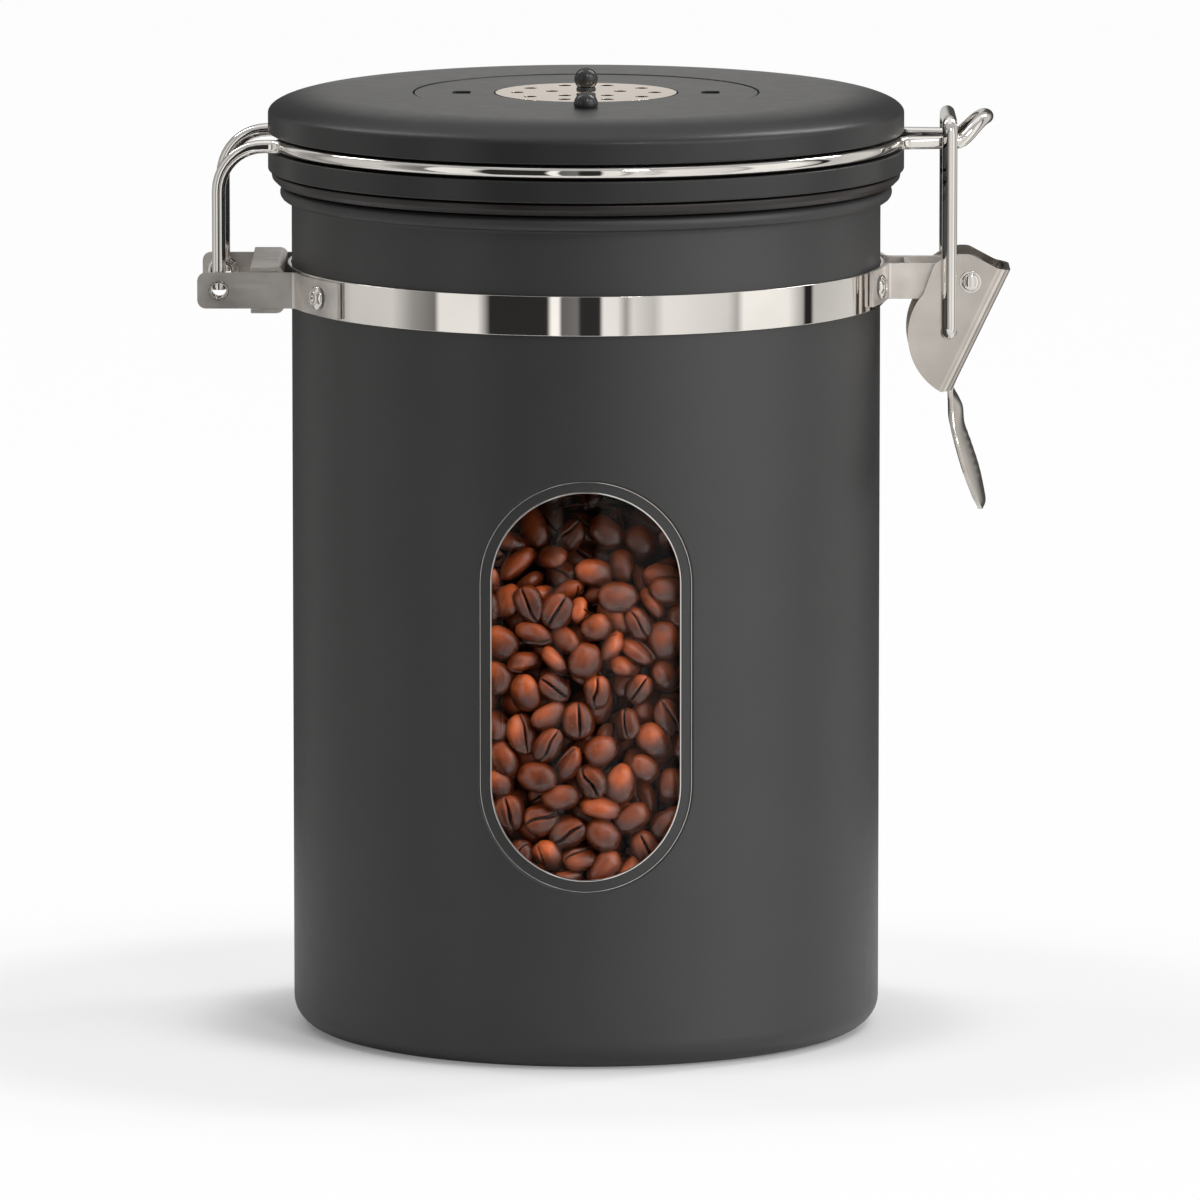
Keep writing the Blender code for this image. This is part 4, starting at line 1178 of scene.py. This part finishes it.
def keep_inside(points):
    """Moves the balls' centres into the room between the can, the pane and the core."""
    x, y, z = points[..., 0], points[..., 1], points[..., 2]
    near_pane = ((np.abs(x) < pane_room_half_width) & (y < 0) & (z > pane_room_low)
                 & (z < pane_room_high))
    limit = np.where(near_pane, pane_room_radius, room_radius) - ball_radius
    shrink = np.minimum(limit / np.maximum(np.hypot(x, y), ball_radius), 1)
    x, y = x * shrink, y * shrink
    radius = np.hypot(x, y)
    angle = np.arctan2(x, -y)
    floor = bed_height(y) - bed_thickness + ball_radius
    under = np.maximum(floor - z, 0)
    in_front = np.abs(angle) < notch_angle
    inward = np.maximum(core_radius + ball_radius - radius, 0)
    outward = (under > 0) & in_front & (inward > 0) & (inward <= under)
    lift = (under > 0) & (~in_front | ((inward > 0) & (inward > under)))
    radius = np.where(outward, core_radius + ball_radius, radius)
    z = np.maximum(np.where(lift, floor, z), pane_room_low + ball_radius)
    return np.stack([radius * np.sin(angle), -radius * np.cos(angle), z], axis=-1)


def settle(centres, turns, scales):
    """Pushes overlapping beans apart, each as five balls that keep their shape."""
    shape = balls[None] * scales[:, None, None]
    points = centres[:, None] + np.einsum("nij,nkj->nki", turns, shape)
    for step in range(settle_rounds):
        centres = points.mean(axis=1)
        if step % 8 == 0:
            apart = np.linalg.norm(centres[:, None] - centres[None], axis=2)
            first, second = np.nonzero(np.triu(apart < 3 * bean_half_length, 1))
        between = points[first][:, :, None] - points[second][:, None]
        far = np.linalg.norm(between, axis=3)
        push = np.maximum(2 * ball_radius - far, 0) / 2
        move = between / np.maximum(far, ball_radius / 100)[..., None] * push[..., None]
        shift = np.zeros_like(points)
        np.add.at(shift, first, move.sum(axis=2))
        np.add.at(shift, second, -move.sum(axis=1))
        points = points + shift * settle_share
        points[..., 2] -= settle_fall
        points = keep_inside(points)
        centres = points.mean(axis=1)
        matched = np.einsum("nki,nkj->nij", points - centres[:, None], shape)
        left, _, right = np.linalg.svd(matched)
        left[:, :, 2] *= np.sign(np.linalg.det(left @ right))[:, None]
        turns = left @ right
        points = centres[:, None] + np.einsum("nij,nkj->nki", turns, shape)
    return points.mean(axis=1), turns


def rotation(angle, axis):
    return Matrix.Rotation(angle, 3, axis)


def bean_starts(draw):
    """Where the beans start and how they are turned: layers against the window that mostly lie
    flat to it, and a bed over the whole can."""
    starts, turns = [], []
    half = notch_angle - notch_margin
    for layer in range(layers):
        radius = front_layer_radius - front_layer_step * layer
        placed_here = []
        for attempt in range(attempts):
            spot = (draw.uniform(-half, half) * radius,
                    draw.uniform(pane_room_low + front_margin, bed_front))
            if all(math.dist(spot, other) > bean_spacing for other in placed_here):
                placed_here.append(spot)
                angle = spot[0] / radius
                starts.append((radius * math.sin(angle), -radius * math.cos(angle), spot[1]))
                tilt = draw.gauss(0, 0.45) + draw.choice((0, math.pi))
                turns.append(rotation(angle, "Z") @ rotation(tilt, "Z")
                             @ rotation(math.pi / 2 + draw.gauss(0, 0.35), "X")
                             @ rotation(draw.uniform(0, full_turn), "Z"))
    reach = int(room_radius / bed_spacing) + 1
    for layer in range(layers):
        for i in range(-reach, reach + 1):
            for j in range(-reach, reach + 1):
                x = (i + (j % 2) / 2 + layer / 3) * bed_spacing + draw.uniform(-scatter, scatter)
                y = ((j * bed_row_share + layer / 2) * bed_spacing
                     + draw.uniform(-scatter, scatter))
                if math.hypot(x, y) < room_radius - bed_margin and (layer or y < bed_low_end):
                    level = float(bed_height(np.array(y))) - bed_drop + bed_layer_step * layer
                    starts.append((x, y, level))
                    turns.append(rotation(draw.uniform(0, full_turn), "Z")
                                 @ rotation(draw.uniform(0, full_turn), "X"))
    return np.array(starts), np.array(turns)


def bean_section(rings, face_lines, back_lines):
    """A unit bean's grid: for each ring along it, points round its section, each as (along,
    across, side, size of the ring)."""
    rows = []
    lines = [(math.copysign(abs(t) ** 1.6, t), -1) for t in
             (2 * i / face_lines - 1 for i in range(face_lines + 1))]
    lines += [(math.cos(math.pi * i / back_lines), 1) for i in range(1, back_lines)]
    for step in range(1, rings):
        along = -math.cos(math.pi * step / rings)
        size = (1 - abs(along) ** 2.4) ** 0.45
        rows.append([(along, across, side, size) for across, side in lines])
    return rows


def bean_points(rows, draw):
    """One bean's points and crease values, in metres, about its own middle."""
    long = bean_half_length * draw.uniform(0.86, 1.10)
    wide = bean_half_width * draw.uniform(0.88, 1.08)
    tall = bean_back * draw.uniform(0.88, 1.05)
    sway = draw.uniform(-0.14, 0.14)
    egg = draw.uniform(-0.12, 0.12)
    lump = Vector((draw.uniform(-9, 9), draw.uniform(-9, 9), draw.uniform(-9, 9)))
    cut_width = draw.uniform(0.055, 0.085)
    cut_depth = draw.uniform(0.0006, 0.0010)
    places, creases = [], []
    tips = [(-1.0, 0.0, 1, 0.0), (1.0, 0.0, 1, 0.0)]
    for share, across, side, size in [tips[0]] + [p for row in rows for p in row] + [tips[1]]:
        round_off = max(1 - abs(across) ** 2.4, 0) ** 0.5
        size *= 1 + egg * share
        y = across * wide * size
        z = (tall if side > 0 else -bean_face) * round_off * size
        crease = no_crease
        if side < 0:
            line = sway * math.sin(math.pi * share)
            off = abs(across - line) * max(size, 0.35) / cut_width
            cut = math.exp(-off ** 4) * max(1 - share ** 8, 0)
            lip = math.exp(-((off - 2.0) ** 2) * 1.6) * max(1 - share ** 4, 0)
            z += size * (cut_depth * cut - bean_lip * lip)
            # the crease value paints shade into the cut and a highlight onto its lips
            crease += (1 - no_crease) * cut - no_crease * lip
        bend = 1 + 0.07 * field.noise(Vector((share * 1.5, across * 1.5, side)) + lump)
        places.append((share * long * bend, y * bend, z * bend))
        creases.append(crease)
    return places, creases


def make_beans():
    """Beans packed behind the window and heaped to a bed on top."""
    draw = random.Random(7)
    starts, turns = bean_starts(draw)
    scales = np.array([draw.uniform(0.90, 1.05) for start in starts])
    centres, turns = settle(starts, turns, scales)

    fine, plain = bean_section(16, 14, 9), bean_section(8, 8, 5)
    groups = {}
    for centre, turn, scale in zip(centres, turns, scales):
        x, y, z = centre
        if abs(x) < near_half_width and y < near_back and z < near_top:
            name, rows = "beans_near", fine
        else:
            name, rows = ("beans_beside" if z < bed_front else "beans_heaped"), plain
        places, faces, creases, tones = groups.setdefault(name, ([], [], [], []))
        local, crease = bean_points(rows, draw)
        first = len(places)
        offsets = np.array(local) * scale @ turn.T
        places.extend((offsets + centre).tolist())
        creases.extend(crease)
        radius = math.hypot(x, y)
        # painted shade: a bean lying deeper behind the pane gets a darker tone, on top of its own
        # roast
        unlit = max(pane_room_radius - radius - lit_depth, 0)
        tone = draw.uniform(0.40, 1) * math.exp(-(unlit / light_depth) ** 2)
        # the side turned to the pane and up is the light one, and the rest lies in its shade
        open_side = np.array((x / radius * 0.75 - 0.25, y / radius * 0.75, 0.55))
        share = np.clip(offsets @ open_side / bean_half_width + 0.05, 0, 1)
        lit = (share * share * (3 - 2 * share)) ** 1.7
        tones.extend((tone * (darkest + (1 - darkest) * lit)).tolist())
        width = len(rows[0])
        last = first + len(rows) * width + 1
        for j in range(width):
            k = (j + 1) % width
            faces.append((first, first + 1 + k, first + 1 + j))
            faces.append((last, last - width + j, last - width + k))
            for low in range(first + 1, last - width, width):
                faces.append((low + j, low + k, low + width + k, low + width + j))
    for name, (places, faces, creases, tones) in groups.items():
        mesh = bpy.data.meshes.new(name)
        mesh.from_pydata(places, [], faces)
        mark(mesh, "crease", creases)
        mark(mesh, "tone", tones)
        mesh.shade_smooth()
        add_piece(name, mesh, roast, body="canister")


def core_ring(work, reach, rise):
    """A ring of the core. reach is its share of the core's radius and rise of its height."""
    ring = []
    for x, y in circle(1, core_steps):
        # the ring starts at the back, and the notch's angle is measured from the window
        away = Vector((-y, x, 0))
        share = (abs(math.atan2(-y, -x)) - notch_angle) / notch_run + 0.5
        side = core_radius - core_side_shy + (room_radius - core_radius) * min(max(share, 0), 1)
        flat = away * side * reach
        top = float(bed_height(np.array(flat.y))) - bed_thickness - core_shy
        place = flat + Vector((0, 0, core_low + (top - core_low) * rise))
        out = away if reach == 1 else Vector((0, 0, 1))
        ring.append(work.verts.new(place - out * abs(core_lumps * field.noise(place * 160))))
    return ring


def make_core():
    """The beans further in, as one lumpy mass that the others lie on, dark with painted shade."""
    rises, rings = 26, 12
    work = bmesh.new()
    loops = [core_ring(work, 1, level / rises) for level in range(rises + 1)]
    loops += [core_ring(work, 1 - ring / rings, 1) for ring in range(1, rings)]
    bridge(work, *loops)
    work.faces.new(loops[0])
    work.faces.new(loops[-1])
    mesh = finished_mesh("beans_within", work, 180)
    mark(mesh, "crease", [no_crease] * len(mesh.vertices))
    # a tone of 0 darkens the core further: painted shade
    mark(mesh, "tone", [0.0] * len(mesh.vertices))
    add_piece("beans_within", mesh, bean_shade, body="canister")


make_beans()
make_core()


# Studio


floor_half = 6
floor_drop = 0.0002
mirrored_glow = 0.2               # the floor's glow in gloss, as a share of what the camera sees
card_steps = 720
card_radius = 0.24
card_height = 0.32
card_colour = (1, 0.985, 0.96)
back_card = 0.64
room_light = 0.25
gloss_light = 0.06
ceiling_light = 0.55
# Tones of the cards, by the place on the can's front where each shows: degrees from the middle
# with the right side positive, and how bright
card_tones = [(-90, 0.6), (-87, 0.10), (-72, 0.10), (-67, 0.80), (-62, 0.40), (-57, 0.30),
              (-51, 0.70), (-40, 0.75), (-35, 0.35), (-30, 0.20), (-29, 1.0), (-21, 1.0),
              (-18.5, 0.03), (-7.3, 0.03), (-6.5, 1.2), (-5.2, 1.2), (-4.6, 0.15), (-1.6, 0.20),
              (-1, 0.03), (2.6, 0.03), (3.3, 1.0), (6, 1.0), (7.6, 0.40), (9, 0.90), (13, 0.65),
              (15, 1.0), (28, 0.80), (30, 0.50), (31.5, 1.1), (42, 1.1), (46, 0.50),
              (46.7, 0.02), (48.3, 0.02), (49.2, 0.65), (62, 0.75), (67, 0.40), (72, 0.08),
              (87, 0.08), (90, 0.6)]
# How much the floor glows to the camera, by the distance from the can's middle. The glow is
# less near the can, which paints a soft shadow round its base, partly real and partly painted
floor_shadow_tones = [(0.046, 0.12), (0.056, 0.28), (0.065, 0.60), (0.073, 0.69), (0.104, 0.70),
               (0.125, 0.90), (0.150, 0.97)]


def make_floor():
    """A white floor. It glows, less so near the can, which paints a darker shadow round it, and
    only a little in gloss.
    """
    work = bmesh.new()
    bmesh.ops.create_grid(work, x_segments=1, y_segments=1, size=floor_half)
    mesh = plain_mesh("floor", work)
    floor = linked("floor", mesh)
    floor.location.z = -floor_drop
    made, tree, shader = material("floor_white", (0.90, 0.90, 0.90), 0.5)
    path = node(tree, "LightPath").outputs
    seen = node(tree, "Math", {0: path["Is Glossy Ray"], 1: mirrored_glow,
                               2: path["Is Camera Ray"]}, operation="MULTIPLY_ADD").outputs[0]
    # the painted shadow lies mostly to the sides
    away = node(tree, "VectorMath", {0: stretched_place(tree, (0.8, 1, 1))},
                operation="LENGTH").outputs["Value"]
    shadow_spread = ramp(tree, away, [(place, (tone,) * 3) for place, tone in floor_shadow_tones])
    share = node(tree, "Math", {0: seen, 1: shadow_spread}, operation="MULTIPLY").outputs[0]
    show(tree, mixed(tree, share, shader.outputs["BSDF"],
                     node(tree, "Emission").outputs["Emission"]))
    mesh.materials.append(made)


def make_lamp(name, place, target, size, power):
    """A soft rectangular lamp that faces a target."""
    light = bpy.data.lights.new(name, "AREA")
    light.shape = "RECTANGLE"
    light.size, light.size_y = size
    light.energy = power
    lamp = linked(name, light)
    lamp.location = place
    direction = Vector(target) - Vector(place)
    lamp.rotation_euler = direction.to_track_quat("-Z", "Y").to_euler()
    lamp.visible_camera = False


def card_place(facing):
    """Where a card stands round the ring to show at a place on the can's front."""
    facing = math.radians(facing)
    return 2 * facing - math.asin(body_radius / card_radius * math.sin(facing))


def make_cards():
    """Pale and dark cards that stand round the table, seen only by gloss."""
    work = bmesh.new()
    turns = [2 * math.pi * step / card_steps - math.pi for step in range(card_steps)]
    bridge(work, *([work.verts.new((card_radius * math.sin(a), -card_radius * math.cos(a), level))
                    for a in turns] for level in (0, card_height)))
    mesh = plain_mesh("cards", work)
    places = [-math.pi] + [card_place(facing) for facing, tone in card_tones] + [math.pi]
    tones = np.interp(turns, places, [back_card] + [tone for facing, tone in card_tones]
                      + [back_card])
    mark(mesh, "glow", [*tones, *tones])
    made, tree, shader = material("card_tones", card_colour, 0.5)
    tree.nodes.remove(shader)
    strength = node(tree, "Attribute", attribute_name="glow").outputs["Fac"]
    show(tree, node(tree, "Emission", {"Color": (*card_colour, 1),
                                       "Strength": strength}).outputs[0])
    mesh.materials.append(made)
    cards = linked("cards", mesh)
    cards.visible_camera = False
    cards.visible_diffuse = False
    cards.visible_volume_scatter = False
    cards.visible_shadow = False


def make_world():
    """White to the camera, and a pale room to all else."""
    scene.world = bpy.data.worlds.new("studio")
    scene.world.use_nodes = True
    tree = scene.world.node_tree
    tree.nodes.clear()
    # a pale ceiling, for what is seen from above
    heading = node(tree, "SeparateXYZ", {0: node(tree, "TexCoord").outputs["Generated"]})
    sky = ramp(tree, heading.outputs["Z"],
               [(0.45, (gloss_light,) * 3), (0.65, (ceiling_light,) * 3)])
    white, room, gloss = (
        node(tree, "Background", {"Color": (1, 1, 1, 1), "Strength": strength}).outputs[0]
        for strength in (1.0, room_light, sky))
    path = node(tree, "LightPath").outputs
    seen = node(tree, "Math", {0: path["Is Camera Ray"], 1: path["Is Transmission Ray"]},
                operation="MAXIMUM").outputs[0]
    light = mixed(tree, seen, mixed(tree, path["Is Glossy Ray"], room, gloss), white)
    node(tree, "OutputWorld", {"Surface": light})


def make_camera():
    """The photograph's view: level with the lid, from far off with a long lens."""
    lens = bpy.data.cameras.new("camera")
    lens.sensor_width = 36
    lens.lens = 375
    lens.clip_start = 0.1
    lens.clip_end = 50
    camera = linked("camera", lens)
    pitch = math.radians(8.37)
    distance = 2.525
    look_at = Vector((0.0028, 0, 0.0858))
    camera.location = look_at + Vector((0, -math.cos(pitch), math.sin(pitch))) * distance
    camera.rotation_euler = (math.pi / 2 - pitch, 0, 0)
    scene.camera = camera


make_floor()
make_cards()
make_lamp("key", (1.7, -1.1, 0.9), (0, 0, 0.1), (0.9, 1.2), 27)
make_lamp("fill", (-1.6, -1.2, 0.6), (0, 0, 0.1), (0.8, 1.4), 3)
make_lamp("top", (0, 0.2, 1.8), (0, 0, 0.15), (1.4, 1.4), 3)
make_lamp("strip right", (0.93, 0.50, 1.36), (0, 0, 0.18), (0.20, 0.9), 9)
make_lamp("strip left", (-0.93, 0.50, 1.36), (0, 0, 0.18), (0.20, 0.9), 4)
make_lamp("spark", (0.45, -1.2, 1.3), (0, 0, 0.1), (0.22, 0.22), 3)
make_world()
make_camera()
scene.view_settings.view_transform = "Standard"
